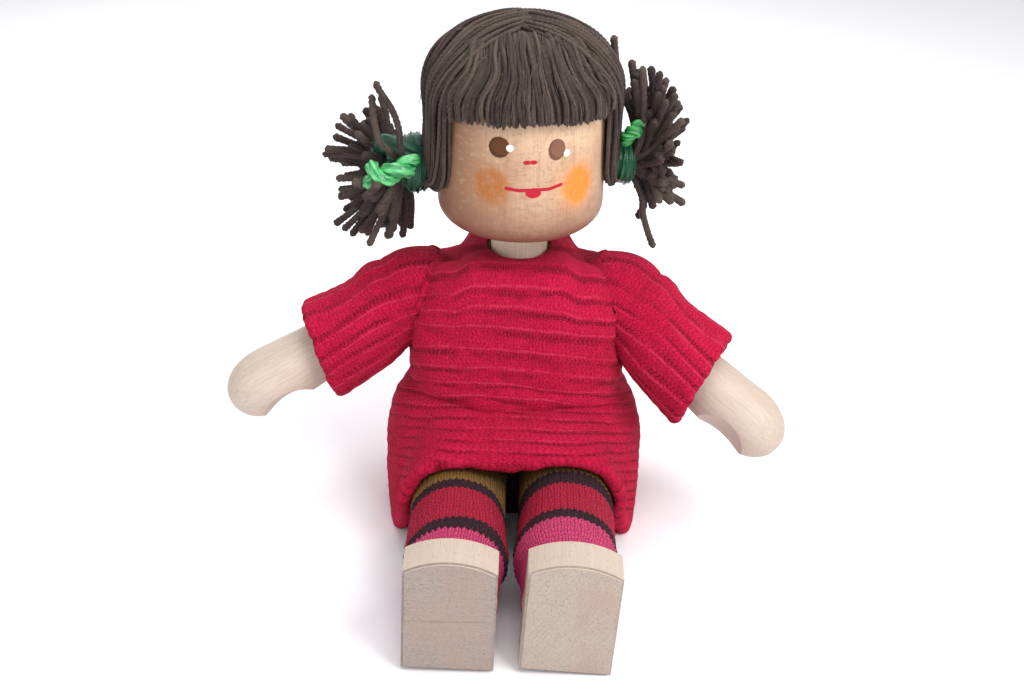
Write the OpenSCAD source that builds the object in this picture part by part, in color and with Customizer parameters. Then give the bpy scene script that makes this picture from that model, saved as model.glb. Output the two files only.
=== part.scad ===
// A wooden peg doll in a ribbed knit dress and striped tights, with yarn hair.
// It sits on the floor and faces -Y. +Z is up and the origin is under the seat.
// Lengths are in millimetres. Left and right are the viewer's.

/* [Head] */
// Diameter of the turned head
head_d = 47.4; // [46:0.2:48.4]
// Height of the head from chin to crown
head_h = 55; // [53:0.5:57]
// Height of the rounded chin
chin_h = 8.5; // [6:0.5:10]
// Height of the rounded crown
crown_h = 23; // [20:0.5:26]
// Diameter of the flat under the chin
chin_flat_d = 19; // [18.5:0.5:22]
// Turn of the head towards the right shoulder, in degrees
head_yaw = 7; // [-20:1:20]

/* [Neck] */
// Diameter of the neck
neck_d = 16.4; // [14:0.2:17]
// Length of neck between the torso and the head
neck_show = 9.5; // [8.6:0.1:11]
// Depth to which the neck enters the head
neck_seat = 3; // [2:0.5:5]
// Diameter of the peg's tenon in the head
head_tenon_d = 10; // [8:0.2:11]
// Length of the tenon in the head
head_tenon_l = 18.5; // [15:0.5:24]
// Diameter of the peg's tenon in the torso
torso_tenon_d = 9; // [7:0.2:9.4]
// Length of the tenon in the torso
torso_tenon_l = 18; // [10:0.5:20]
// Diameter of the pin that keeps the head on
head_pin_d = 2.4; // [2:0.1:2.6]

/* [Torso] */
// Diameter of the turned torso
torso_d = 39.6; // [38.8:0.2:40]
// Height of the torso
torso_h = 78; // [76:0.5:78.4]
// Diameter of the flat top round the neck
torso_top_d = 26; // [25:0.5:28]
// Height of the rounded shoulder
shoulder_round_h = 13; // [10:0.5:16]
// Size of the eased edge round the base
base_ease = 2; // [1:0.2:3]
// Width of the web between the legs
web_t = 6; // [4.6:0.2:6.2]

/* [Shoulders and arms] */
// Distance of a shoulder's centre from the middle
shoulder_x = 27; // [26.5:0.1:27.6]
// Depth of a shoulder's centre below the torso's top
shoulder_drop = 13; // [12.5:0.1:13.4]
// Distance of the shoulder recess's floor from the middle
recess_floor_x = 12.6; // [12:0.1:12.6]
// Diameter of the shoulder ball
ball_d = 18.8; // [16:0.2:20]
// Diameter of the ball's collar
collar_d = 9.4; // [8.4:0.2:9.6]
// Diameter of the stem that turns in the torso
stem_d = 7; // [6:0.2:7.6]
// Length of that stem
stem_l = 7; // [6.6:0.1:7.2]
// Diameter of the pin that keeps a stem in
stem_pin_d = 2; // [1.6:0.1:2.2]
// Thickness of the arm's tongue
tongue_t = 4; // [3:0.2:5]
// Diameter of the arm's pin
arm_pin_d = 3; // [2.4:0.1:3.4]
// Length of an arm from the shoulder's centre to the fingertips
arm_l = 67; // [63:0.5:69]
// Diameter of the arm at its top
arm_top_d = 15; // [13:0.2:16]
// Diameter of the arm at the wrist
wrist_d = 17.2; // [15:0.2:18]
// Diameter of the hand
hand_d = 19.6; // [18:0.2:20.4]
// Radius of the scooped palm
palm_r = 14; // [11:0.5:16]
// Depth of the scooped palm
palm_depth = 3.6; // [2:0.2:5]
// Furthest drop of an arm below level, in degrees
arm_drop_limit_angle = 43; // [41:1:43]
// Drop of the left arm below level, in degrees
left_arm_drop_angle = 31.5; // [0:0.5:43]
// Drop of the right arm below level, in degrees
right_arm_drop_angle = 42.5; // [0:0.5:43]
// Swing of the left arm to the front, in degrees
left_arm_swing_angle = 28; // [-40:1:80]
// Swing of the right arm to the front, in degrees
right_arm_swing_angle = 42; // [-40:1:80]

/* [Legs and feet] */
// Diameter of a leg
leg_d = 25; // [24.6:0.1:25.2]
// Distance of a leg's axis from the middle
leg_x = 15.7; // [15.6:0.1:15.9]
// Length of a leg from the hip to the ankle
leg_l = 82.7; // [70:0.5:90]
// Height of the hip above the floor when seated
hip_z = 14.2; // [14:0.1:14.4]
// Diameter of the hip pin
hip_pin_d = 5; // [4:0.2:6]
// Diameter of the ankle peg
ankle_peg_d = 8; // [6:0.2:10]
// Length of the ankle peg inside the leg
ankle_peg_l = 18; // [10:1:24]
// Depth to which the ankle peg enters the foot
ankle_seat = 7; // [4:0.5:8]
// Width of a foot
foot_w = 24.4; // [23:0.2:25]
// Thickness of a foot from the ankle to the sole
foot_t = 11; // [9:0.2:13]
// Length of a foot along its middle
foot_l = 34.3; // [32:0.5:38]
// Distance of the heel behind the leg's axis
heel_back = 13.4; // [13:0.1:13.4]
// Radius of the toe's rounded edge
toe_r = 23.5; // [18:0.5:40]
// Size of the eased edge round the sole
sole_ease = 0.6; // [0.2:0.1:1]
// Roll of the left foot about its leg, in degrees
left_foot_roll_angle = 1.4; // [-3:0.2:3]
// Roll of the right foot about its leg, in degrees
right_foot_roll_angle = -3.5; // [-3.5:0.1:3.5]

/* [Dress] */
// Width of the dress across the chest
dress_w = 62; // [61:0.2:63]
// Depth of the dress at the chest
dress_d = 44; // [43.6:0.2:46]
// Height of the collar above the torso
collar_rise = 2.4; // [2:0.1:2.6]
// Thickness of the knit
knit_t = 1.5; // [1:0.1:1.5]
// Width of the skirt across its widest
skirt_w = 73; // [72.4:0.2:76]
// Distance of the front hem from the middle
hem_front = 40; // [37:0.5:42]
// How much further forward the hem lies on the left than on the right
hem_skew = 3; // [0:0.5:4]
// Height of the front hem over the legs
hem_front_z = 30.8; // [30.6:0.1:32]
// How much the front hem dips between the legs
hem_dip = 2; // [0:0.2:2]
// Distance of the back hem from the middle
hem_back = 25.5; // [24:0.5:28]
// Height of the hem above the floor at the sides and back
hem_floor_z = 0.6; // [0.4:0.1:2]
// How far the skirt blouses out
blouse_h = 4.2; // [2:0.2:6]

/* [Sleeves] */
// Radius of the puff round the shoulder
puff_r = 15; // [14.6:0.1:15]
// Radius of the sleeve below the puff
sleeve_r = 13.1; // [12:0.1:13.4]
// How much wider the sleeve is at its cuff
cuff_flare = 1.2; // [0:0.1:1.2]
// Length of the sleeve from the shoulder's centre
sleeve_l = 36.5; // [32:0.5:40]
// Depth of the lengthwise ribs
rib_h = 0.7; // [0:0.1:1]
// Number of ribs round the sleeve
ribs = 16; // [12:1:18]

/* [Tights] */
// Thickness of the tights
tights_t = 0.9; // [0.6:0.1:0.9]
// Thickness of the seat under the torso
seat_t = 1; // [0.8:0.1:1.2]
// Height of the tights' seat
seat_h = 34; // [31:0.5:38]
// How far the ankle wrinkle_count stand out
wrinkle_h = 0.5; // [0:0.1:0.8]

/* [Hair] */
// Diameter of the hair at the temples
hair_d = 56.6; // [55:0.2:57.4]
// Thickness of the hair over the crown
hair_top_t = 5.8; // [4:0.2:7]
// Height of the hair's lower edge above the chin
hair_low_h = 8; // [5:0.5:12]
// Height of the fringe's lower edge above the chin
fringe_low_h = 37.8; // [35:0.2:42]
// Distance of the fringe's seam in front of the head's middle
fringe_seam_y = 8; // [4:0.5:12]
// Half width of the fringe's seam
fringe_seam_w = 15; // [10:0.5:18]
// Half of the face opening's angle, in degrees
face_half_angle = 62; // [50:1:75]
// Height of a pigtail above the chin
pigtail_h = 19; // [18.5:0.5:22]
// Diameter of a pigtail where it is tied
pigtail_neck_d = 8; // [6:0.2:10]
// Length of the tied stretch
pigtail_neck_l = 8.4; // [8.2:0.2:11]
// Radius of the tuft
tuft_r = 25; // [18:0.5:27]
// How far the tuft stands out beyond its tie
tuft_l = 19; // [12:0.5:22]
// Clearance between the tuft and the sleeve's puff
tuft_clear = 1.4; // [1:0.1:5]
// Thickness of the cord that ties a pigtail
tie_cord_d = 2.2; // [1.6:0.1:2.2]
// Rise of the cord in one turn
tie_rise = 2.8; // [2.8:0.1:3.2]
// Turns of the cord round a pigtail
tie_turns = 1.9; // [1:0.1:2]

/* [Fits] */
// Radial clearance of a pin or peg that turns
run_gap = 0.06; // [0.04:0.01:0.09]
// Clearance between parts that pass each other
pass_gap = 0.2; // [0.15:0.05:0.25]
// Clearance round the cloth that moves
cloth_gap = 0.4; // [0.3:0.05:0.4]
// Clearance under the hair
hair_gap = 0.1; // [0.05:0.05:0.2]

/* [Hidden] */
$fn = 64;
overrun = 1;

wood = "#e6c9a2";
pale_wood = "#efe0cc";
knit_red = "#c81e3c";
hair_brown = "#4f443f";
tie_green = "#1f8a4c";
tights_stripes = "#c8283e";
tights_mustard = "#b8862c";

// Heights along the body
torso_top_z = seat_t + torso_h;
head_z = torso_top_z + neck_show;
shoulder_z = torso_top_z - shoulder_drop;
head_r = head_d / 2;
torso_r = torso_d / 2;
leg_r = leg_d / 2;
ball_r = ball_d / 2;
hand_r = hand_d / 2;
shoulder = [shoulder_x, 0, shoulder_z];
collar_z = torso_top_z + collar_rise;
tuft_low_z = shoulder_z + puff_r + tuft_clear;

// Grooves and the pins that run in them
groove_depth = 1;
head_groove_h = 12;
stem_groove_l = 3.4;
stem_groove_depth = 0.9;
head_pin_l = 38;
stem_pin_l = 19;
tongue_d = 12;

// Powers that round the lathe profiles and the cloth
chin_power = 2.2;
crown_power = 2.25;
chin_start_angle = -80;
fingertip_power = 2.15;
hair_power = 2.3;

// A power of a number that keeps its sign
function signed_pow(v, p) = sign(v) * pow(abs(v), p);

// Points on a quarter of a superellipse, from angle a0 to a1
function rounded(cx, cy, rx, ry, a0, a1, n, power) = [for (i = [0:n]) let (a = a0 + (a1 - a0) * i / n)
    [cx + rx * signed_pow(cos(a), 2 / power), cy + ry * signed_pow(sin(a), 2 / power)]];

function smooth(v) = let (c = min(1, max(0, v))) c * c * (3 - 2 * c);
function mix(a, b, s) = a + (b - a) * s;

// Places a child on the viewer's left (-1) or right (1)
module on_side(side) {
    if (side < 0) mirror([1, 0, 0]) children();
    else children();
}

// Puts a child, drawn along +X from a shoulder's centre, at an arm's swing and drop
module at_shoulder(drop, swing) {
    translate(shoulder) rotate([-swing, 0, 0]) rotate([0, drop, 0]) children();
}

// A closed solid from rings of points that run round and back to the first ring
module band(rings) {
    n = len(rings[0]);
    m = len(rings);
    polyhedron(points = [for (r = rings) each r], faces = [for (k = [0:m - 1], i = [0:n - 1])
        let (a = k * n + i, b = k * n + (i + 1) % n, c = ((k + 1) % m) * n + (i + 1) % n,
            d = ((k + 1) % m) * n + i)
        each [[a, b, c], [a, c, d]]]);
}

// A closed solid from rings of points with a flat cap at each end
module capped_tube(rings) {
    n = len(rings[0]);
    m = len(rings);
    polyhedron(points = [for (r = rings) each r], faces = concat(
        [[for (i = [n - 1:-1:0]) i]],
        [[for (i = [0:n - 1]) (m - 1) * n + i]],
        [for (k = [0:m - 2], i = [0:n - 1])
            let (a = k * n + i, b = k * n + (i + 1) % n, c = (k + 1) * n + (i + 1) % n,
                d = (k + 1) * n + i)
            each [[a, b, c], [a, c, d]]]));
}

function unit(v) = v / norm(v);

// Moves each point of a grid of rings inwards along the surface's normal
function offset_rings(rings, t) = let (n = len(rings[0]), m = len(rings))
    [for (k = [0:m - 1]) [for (i = [0:n - 1])
        let (along = rings[min(m - 1, k + 1)][i] - rings[max(0, k - 1)][i],
            round = rings[k][(i + 1) % n] - rings[k][(i + n - 1) % n])
        rings[k][i] - t * unit(cross(round, along))]];

function reversed(list) = [for (i = [len(list) - 1:-1:0]) list[i]];

// Head and neck
head_points = concat([[0, 0], [chin_flat_d / 2, 0]],
    rounded(chin_flat_d / 2, chin_h, head_r - chin_flat_d / 2, chin_h, chin_start_angle, 0, 10, chin_power),
    rounded(0, head_h - crown_h, head_r, crown_h, 0, 90, 14, crown_power));

head_pin_y = head_tenon_d / 2 - groove_depth + run_gap + head_pin_d / 2;
head_pin_z = head_z + neck_seat + head_groove_h;

module head_shape() {
    translate([0, 0, head_z]) rotate_extrude() polygon(head_points);
}

module head_turned() rotate([0, 0, head_yaw]) children();

module head_pin_shape(l) {
    translate([head_r - 2 * overrun - head_pin_l, head_pin_y, head_pin_z]) rotate([0, 90, 0])
        cylinder(h = l, d = head_pin_d);
}

module head() {
    color(wood) head_turned() difference() {
        head_shape();
        translate([0, 0, head_z - overrun]) cylinder(h = neck_seat + overrun, d = neck_d + 2 * run_gap);
        translate([0, 0, head_z]) cylinder(h = neck_seat + head_tenon_l + overrun, d = head_tenon_d + 2 * run_gap);
        head_pin_shape(head_pin_l + 4 * overrun);
    }
}

module head_pin() {
    color(wood) head_turned() head_pin_shape(head_pin_l);
}

module neck_peg() {
    color(wood) difference() {
        union() {
            translate([0, 0, torso_top_z - torso_tenon_l]) cylinder(h = torso_tenon_l, d = torso_tenon_d);
            translate([0, 0, torso_top_z]) cylinder(h = neck_show + neck_seat - pass_gap, d = neck_d);
            translate([0, 0, torso_top_z]) cylinder(h = neck_show + neck_seat + head_tenon_l, d = head_tenon_d);
        }
        translate([0, 0, head_pin_z - head_pin_d / 2 - run_gap]) rotate_extrude()
            translate([head_tenon_d / 2 - groove_depth, 0])
                square([groove_depth + overrun, head_pin_d + 2 * run_gap]);
    }
}

// Torso, with a recess and a bore for each shoulder and a slot for each leg
torso_points = concat([[0, seat_t], [torso_r - base_ease, seat_t], [torso_r, seat_t + base_ease]],
    rounded(torso_top_d / 2, torso_top_z - shoulder_round_h, torso_r - torso_top_d / 2,
        shoulder_round_h, 0, 90, 10, 2),
    [[0, torso_top_z]]);

recess_r = puff_r + cloth_gap + pass_gap;
leg_room = leg_r + tights_t + pass_gap + cloth_gap / 2;

// The space that a leg and its tights need as the leg swings from level to hanging
module leg_sweep(room, inner_x) {
    translate([inner_x, 0, hip_z]) rotate([90, 0, 90]) linear_extrude(height = torso_d) {
        circle(r = room);
        translate([-torso_d, -torso_d]) square([torso_d, torso_d + room]);
        translate([-torso_d, -torso_d]) square([torso_d + room, torso_d]);
    }
}

stem_pin_y = stem_d / 2 - stem_groove_depth + run_gap + stem_pin_d / 2;
stem_pin_x = recess_floor_x - stem_groove_l;

module stem_pin_shape(l) {
    translate([stem_pin_x, stem_pin_y, torso_top_z - stem_pin_l]) cylinder(h = l, d = stem_pin_d);
}

module torso() {
    color(wood) difference() {
        rotate_extrude() polygon(torso_points);
        translate([0, 0, torso_top_z - torso_tenon_l]) cylinder(h = torso_tenon_l + overrun, d = torso_tenon_d);
        translate([-torso_d / 2, 0, hip_z]) rotate([0, 90, 0]) cylinder(h = torso_d, d = hip_pin_d);
        for (side = [-1, 1]) on_side(side) {
            intersection() {
                translate(shoulder) sphere(r = recess_r);
                translate([recess_floor_x, -torso_r, 0]) cube([torso_d, torso_d, torso_top_z + overrun]);
            }
            translate([recess_floor_x - stem_l - pass_gap, 0, shoulder_z]) rotate([0, 90, 0])
                cylinder(h = stem_l + pass_gap + overrun, d = stem_d + 2 * run_gap);
            stem_pin_shape(stem_pin_l + overrun);
            leg_sweep(leg_room, web_t / 2);
        }
    }
}

module stem_pin(side) {
    color(wood) on_side(side) stem_pin_shape(stem_pin_l);
}

// Shoulder ball: a turned knob whose stem swings in the torso, with a slot for the arm's tongue
module shoulder_ball(side, swing) {
    color(wood) on_side(side) at_shoulder(0, swing) difference() {
        union() {
            sphere(r = ball_r);
            translate([recess_floor_x + pass_gap / 2 - shoulder_x, 0, 0]) rotate([0, 90, 0])
                cylinder(h = shoulder_x - recess_floor_x - pass_gap / 2, d = collar_d);
            translate([recess_floor_x - stem_l - shoulder_x, 0, 0]) rotate([0, 90, 0])
                cylinder(h = stem_l + overrun, d = stem_d);
        }
        translate([stem_pin_x - stem_pin_d / 2 - run_gap - shoulder_x, 0, 0]) rotate([0, 90, 0]) rotate_extrude()
            translate([stem_d / 2 - stem_groove_depth, 0])
                square([stem_groove_depth + overrun, stem_pin_d + 2 * run_gap]);
        slot_t = tongue_t + pass_gap;
        translate([0, slot_t / 2, 0]) rotate([90, 0, 0]) cylinder(h = slot_t, r = tongue_d / 2 + pass_gap);
        for (drop = [0, arm_drop_limit_angle]) rotate([0, drop, 0])
            translate([0, -slot_t / 2, -ball_r - overrun]) cube([ball_d, slot_t, ball_d + 2 * overrun]);
        translate([0, ball_r, 0]) rotate([90, 0, 0]) cylinder(h = ball_d, d = arm_pin_d);
    }
}

arm_pin_l = 2 * sqrt(pow(ball_r, 2) - pow(arm_pin_d, 2)) - pass_gap;

module arm_pin(side, swing) {
    color(wood) on_side(side) at_shoulder(0, swing)
        translate([0, arm_pin_l / 2, 0]) rotate([90, 0, 0]) cylinder(h = arm_pin_l, d = arm_pin_d);
}

// Arm: a tongue, a round arm that widens to the hand, and a scooped palm underneath
arm_start = ball_r + 4 * pass_gap;
hand_full_share = 0.8;
palm_share = 0.785;
arm_points = concat([[0, arm_start], [arm_top_d / 2, arm_start], [wrist_d / 2, sleeve_l]],
    rounded(0, arm_l * hand_full_share, hand_r, arm_l * (1 - hand_full_share), 0, 90, 12, fingertip_power));

module arm(side, drop, swing) {
    color(pale_wood) on_side(side) at_shoulder(drop, swing) difference() {
        union() {
            translate([0, tongue_t / 2, 0]) rotate([90, 0, 0]) cylinder(h = tongue_t, d = tongue_d);
            translate([0, -tongue_t / 2, -tongue_d / 2]) cube([arm_start + overrun, tongue_t, tongue_d]);
            rotate([0, 90, 0]) rotate_extrude() polygon(arm_points);
        }
        translate([0, tongue_t, 0]) rotate([90, 0, 0]) cylinder(h = 2 * tongue_t, d = arm_pin_d + 2 * run_gap);
        translate([arm_l * palm_share, hand_d, palm_depth - hand_r - palm_r]) rotate([90, 0, 0])
            cylinder(h = 2 * hand_d, r = palm_r);
    }
}

// Legs: round dowels with a rounded hip end, pinned through the torso's web
module leg(side) {
    color(wood) on_side(side) difference() {
        intersection() {
            translate([leg_x, leg_r, hip_z]) rotate([90, 0, 0]) cylinder(h = leg_l + leg_r, d = leg_d);
            translate([0, 0, hip_z]) rotate([90, 0, 90]) linear_extrude(height = leg_x + leg_d) {
                circle(r = leg_r);
                translate([-leg_l - overrun, -leg_r]) square([leg_l + overrun, leg_d]);
            }
        }
        translate([0, 0, hip_z]) rotate([0, 90, 0]) cylinder(h = leg_x + leg_d, d = hip_pin_d + 2 * run_gap);
        translate([leg_x, -leg_l + ankle_peg_l + overrun, hip_z]) rotate([90, 0, 0])
            cylinder(h = ankle_peg_l + 2 * overrun, d = ankle_peg_d + 2 * run_gap);
    }
}

hip_pin_l = 2 * (leg_x + leg_r) - 4 * pass_gap;

module hip_pin() {
    color(wood) translate([-hip_pin_l / 2, 0, hip_z]) rotate([0, 90, 0]) cylinder(h = hip_pin_l, d = hip_pin_d);
}

foot_y = leg_l + pass_gap;

module ankle_peg(side) {
    color(wood) on_side(side) translate([leg_x, -leg_l + ankle_peg_l, hip_z]) rotate([90, 0, 0])
        cylinder(h = ankle_peg_l + pass_gap + ankle_seat, d = ankle_peg_d);
}

// Foot outline: straight heel and sides with an arc for the toes
module foot_outline(ease) {
    intersection() {
        translate([-foot_w / 2 + ease, -heel_back + ease]) square([foot_w - 2 * ease, foot_l - 2 * ease]);
        translate([0, foot_l - heel_back - toe_r]) circle(r = toe_r - ease);
    }
}

module foot(side, roll) {
    color(pale_wood) on_side(side) translate([leg_x, -foot_y, hip_z]) rotate([90, 0, 0])
        rotate([0, 0, roll]) difference() {
            union() {
                linear_extrude(height = foot_t - sole_ease) foot_outline(0);
                linear_extrude(height = foot_t) foot_outline(sole_ease);
            }
            translate([0, 0, -overrun]) cylinder(h = ankle_seat + overrun, d = ankle_peg_d);
        }
}

// Dress: rings from the neckline down. Each row holds the height as a share of the collar's,
// the half width and the front and back depths as shares of the dress's halves, and squareness.
dress_row_shares = [
    [0.992, 0.38, 0.55, 0.55, 2],
    [1, 0.54, 0.69, 0.67, 2.2],
    [0.992, 0.71, 0.85, 0.84, 2.6],
    [0.95, 0.83, 0.95, 0.95, 3],
    [0.86, 0.95, 0.99, 0.99, 3.4],
    [0.76, 1, 1.01, 0.99, 3.4],
    [0.665, 1, 1.04, 1, 3],
    [0.58, 0.985, 1.08, 1.01, 2.7],
    [0.52, 0.975, 1.15, 1.03, 2.5],
    [0.475, 1, 1.13, 1.05, 2.4]];
skirt_rings = 6;
dress_sides = 36;
hem_power = 4;
hem_round_share = 0.06;
hem_top_column = 2;
hem_last_column = 4;
hem_leg_turn_angle = 42;
blouse_peak_share = 0.4;
blouse_back_share = 0.5;

// Distance from the axis to a superellipse with half width a and half depth b
function squircle(t, a, b, power) = pow(pow(abs(cos(t)) / a, power) + pow(abs(sin(t)) / b, power), -1 / power);

function dress_ring(row) = [for (i = [0:dress_sides - 1]) let (t = 360 * i / dress_sides,
    r = squircle(t, row[1] * dress_w / 2, (sin(t) < 0 ? row[2] : row[3]) * dress_d / 2, row[4]))
    [r * cos(t), r * sin(t), row[0] * collar_z]];

// The hem follows the tops of both legs in front and reaches the floor at the sides and back.
// Columns are counted from the middle of the front to either side.
function hem_point(t) = let (column = abs(t - 270) * dress_sides / 360, right = cos(t) < 0 ? -1 : 1)
    column > hem_last_column
    ? let (r = squircle(t, skirt_w / 2, sin(t) < 0 ? hem_front : hem_back, hem_power))
        [r * cos(t), r * sin(t), hem_floor_z]
    : let (a = hem_leg_turn_angle * max(0, column - hem_top_column), out = min(1, column / hem_top_column),
        arch_r = hem_front_z - hip_z, round_share = 1 - hem_round_share * pow(column / hem_last_column, 2))
        [right * (leg_x * out + arch_r * sin(a)), (hem_skew * cos(t) - hem_front) * round_share,
            hip_z + arch_r * cos(a) - hem_dip * pow(1 - out, 2)];

hem_ring = [for (i = [0:dress_sides - 1]) hem_point(360 * i / dress_sides)];

waist_ring = dress_ring(dress_row_shares[len(dress_row_shares) - 1]);

function skirt_ring(s) = let (puff = blouse_h * sin(180 * pow(s, ln(0.5) / ln(blouse_peak_share))))
    [for (i = [0:dress_sides - 1]) let (p = mix(waist_ring[i], hem_ring[i], s), t = 360 * i / dress_sides)
        p + puff * (sin(t) > 0 ? blouse_back_share : 1) * [cos(t), sin(t), 0]];

dress_outer = concat([for (row = dress_row_shares) dress_ring(row)],
    [for (k = [1:skirt_rings]) skirt_ring(k / skirt_rings)]);

module dress() {
    color(knit_red) difference() {
        band(concat(dress_outer, reversed(offset_rings(dress_outer, -knit_t))));
        for (side = [-1, 1]) on_side(side) translate(shoulder) sphere(r = puff_r + cloth_gap);
        on_side(-1) armpit_room(left_arm_drop_angle, left_arm_swing_angle);
        on_side(1) armpit_room(right_arm_drop_angle, right_arm_swing_angle);
    }
}

// The space that a sleeve presses into the side of the dress
module armpit_room(drop, swing) {
    at_shoulder(drop, swing) rotate([0, 90, 0]) cylinder(h = sleeve_l, r = sleeve_r + cuff_flare + cloth_gap);
}

// Sleeve: small circles of a sphere round the shoulder that turn into rings square to the arm,
// then a ribbed tube. The first circle lies hidden inside the armhole.
puff_tilt_angle = 35.5;
puff_open_angle = 123.5;
puff_rings = 5;
tube_rings = 6;
sleeve_sides = 2 * ribs;
puff_end_angle = asin(sleeve_r / puff_r);

function rib(t, share) = rib_h * share * (1 - cos(ribs * t)) / 2;

function puff_ring(s, t_in) = let (g = puff_tilt_angle * (1 - s), q = mix(puff_open_angle, puff_end_angle, s))
    [for (i = [0:sleeve_sides - 1]) let (t = 360 * i / sleeve_sides, r = puff_r - t_in - rib(t, s))
        r * (cos(q) * [cos(g), 0, sin(g)] + sin(q) * (cos(t) * [-sin(g), 0, cos(g)] + sin(t) * [0, 1, 0]))];

function tube_ring(s, t_in) = let (x0 = puff_r * cos(puff_end_angle))
    [for (i = [0:sleeve_sides - 1]) let (t = 360 * i / sleeve_sides,
        r = sleeve_r + cuff_flare * s * s - t_in - rib(t, 1))
        [mix(x0, sleeve_l, s), r * sin(t), r * cos(t)]];

function sleeve_rings(t_in) = concat([for (k = [0:puff_rings]) puff_ring(k / puff_rings, t_in)],
    [for (k = [1:tube_rings]) tube_ring(k / tube_rings, t_in)]);

module sleeve(side, drop, swing) {
    color(knit_red) on_side(side) at_shoulder(drop, swing)
        band(concat(sleeve_rings(0), reversed(sleeve_rings(knit_t))));
}

// Tights: a seat on the torso, and a leg that wrinkle_count at the ankle with a flap over the hip
tights_in_r = leg_r + hair_gap;
tights_out_r = leg_r + tights_t;
seat_in_r = torso_r + hair_gap;

module tights_seat() {
    color(tights_mustard) difference() {
        cylinder(h = seat_h, r = seat_in_r + tights_t);
        translate([0, 0, seat_t]) cylinder(h = seat_h, r = seat_in_r);
        for (side = [-1, 1]) on_side(side) leg_sweep(leg_room, web_t / 2);
    }
}

wrinkle_l = 5;
wrinkle_count = 2;
wrinkle_step_count = 6;
tights_start = torso_r + 2 * cloth_gap + tights_t;

tights_points = concat(
    [[tights_in_r, tights_start], [tights_out_r, tights_start]],
    [for (i = [0:wrinkle_count * wrinkle_step_count]) let (k = i / wrinkle_step_count)
        [tights_out_r + wrinkle_h * (1 - cos(360 * k)) / 2, leg_l - wrinkle_l * (wrinkle_count - k) - pass_gap]],
    [[tights_in_r, leg_l - pass_gap]]);

module tights_leg(side) {
    color(tights_stripes) on_side(side) union() {
        translate([leg_x, 0, hip_z]) rotate([90, 0, 0]) rotate_extrude() polygon(tights_points);
        difference() {
            intersection() {
                translate([leg_x, tights_out_r, hip_z]) rotate([90, 0, 0])
                    cylinder(h = tights_start + tights_out_r, r = tights_out_r);
                translate([leg_x, 0, hip_z]) rotate([90, 0, 90]) linear_extrude(height = leg_d) {
                    circle(r = tights_out_r);
                    translate([-tights_start - overrun, -tights_out_r])
                        square([tights_start + overrun, 2 * tights_out_r]);
                }
            }
            intersection() {
                translate([leg_x, tights_out_r + overrun, hip_z]) rotate([90, 0, 0])
                    cylinder(h = tights_start + tights_out_r + 2 * overrun, r = tights_in_r);
                translate([0, 0, hip_z]) rotate([90, 0, 90]) linear_extrude(height = leg_x + leg_d) {
                    circle(r = tights_in_r);
                    translate([-tights_start - 2 * overrun, -tights_in_r])
                        square([tights_start + 2 * overrun, 2 * tights_in_r]);
                }
            }
        }
    }
}

// Hair: a lathe shell over the head, cut into the cap and the fringe
hair_r = hair_d / 2;
hair_low_r_share = 0.94;
temple_share = 0.72;
hair_inner_points = concat(
    [[0, -overrun], [chin_flat_d / 2, -overrun], [chin_flat_d / 2, 0]],
    rounded(chin_flat_d / 2, chin_h, head_r + hair_gap - chin_flat_d / 2, chin_h, chin_start_angle, 0, 10,
        chin_power),
    rounded(0, head_h - crown_h, head_r + hair_gap, crown_h + hair_gap, 0, 90, 14, crown_power));
hair_edge_h = hair_low_h + hair_top_t / 4;
temple_h = head_h * temple_share;
hair_outer_points = concat(
    [[0, hair_low_h], [head_r, hair_low_h], [hair_r * hair_low_r_share, hair_edge_h]],
    rounded(0, temple_h, hair_r, head_h * (1 - temple_share) + hair_top_t, 0, 90, 16, hair_power));

// Radius of the cap at a height above the chin, between its lower edge and the temples
function cap_r(h) = hair_r * mix(hair_low_r_share, 1, (h - hair_edge_h) / (temple_h - hair_edge_h));

module hair_shell() {
    translate([0, 0, head_z]) difference() {
        rotate_extrude() polygon(hair_outer_points);
        rotate_extrude() polygon(hair_inner_points);
    }
}

// The wedge in front that the fringe and the face share, drawn bigger by grow
module front_wedge(grow, low) {
    side_x = hair_r * sin(face_half_angle);
    side_y = hair_r * cos(face_half_angle);
    translate([0, 0, head_z + low]) linear_extrude(height = 2 * head_h) polygon([
        [-fringe_seam_w - grow, grow - fringe_seam_y], [fringe_seam_w + grow, grow - fringe_seam_y],
        [side_x + grow, grow - side_y], [side_x + grow, -hair_d],
        [-side_x - grow, -hair_d], [-side_x - grow, grow - side_y]]);
}

module hair_cap() {
    color(hair_brown) head_turned() difference() {
        hair_shell();
        front_wedge(hair_gap, 0);
    }
}

module fringe() {
    color(hair_brown) head_turned() intersection() {
        hair_shell();
        front_wedge(0, fringe_low_h);
    }
}

// Pigtail: a tied neck that flares into a lobed tuft. Each row holds the place along the tuft
// as a share of its length, the radius as a share of its radius and how much the lobes show.
tuft_row_shares = [[-0.12, 0.5, 0.3], [-0.26, 0.8, 0.8], [-0.28, 0.98, 1], [-0.08, 1.04, 1],
    [0.2, 0.95, 1], [0.5, 0.78, 0.9], [0.78, 0.52, 0.7], [0.95, 0.25, 0.4]];
tuft_sides = 28;
tuft_flat_share = 0.62;
tuft_tip_share = 0.1;
lobe_share = 0.13;
lobes = 7;
pigtail_x = cap_r(pigtail_h + pigtail_neck_d / 2) + hair_gap;
pigtail_z = head_z + pigtail_h;
tuft_x = pigtail_x + pigtail_neck_l;

function tuft_ring(row) = [for (i = [0:tuft_sides - 1]) let (t = 360 * i / tuft_sides,
    r = tuft_r * row[1] * (1 + lobe_share * row[2] * cos(lobes * t)))
    [tuft_x + tuft_l * row[0], r * tuft_flat_share * sin(t), max(r * cos(t), tuft_low_z - pigtail_z)]];

function neck_ring(x) = [for (i = [0:tuft_sides - 1]) let (t = 360 * i / tuft_sides)
    [x, pigtail_neck_d / 2 * sin(t), pigtail_neck_d / 2 * cos(t)]];

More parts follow.
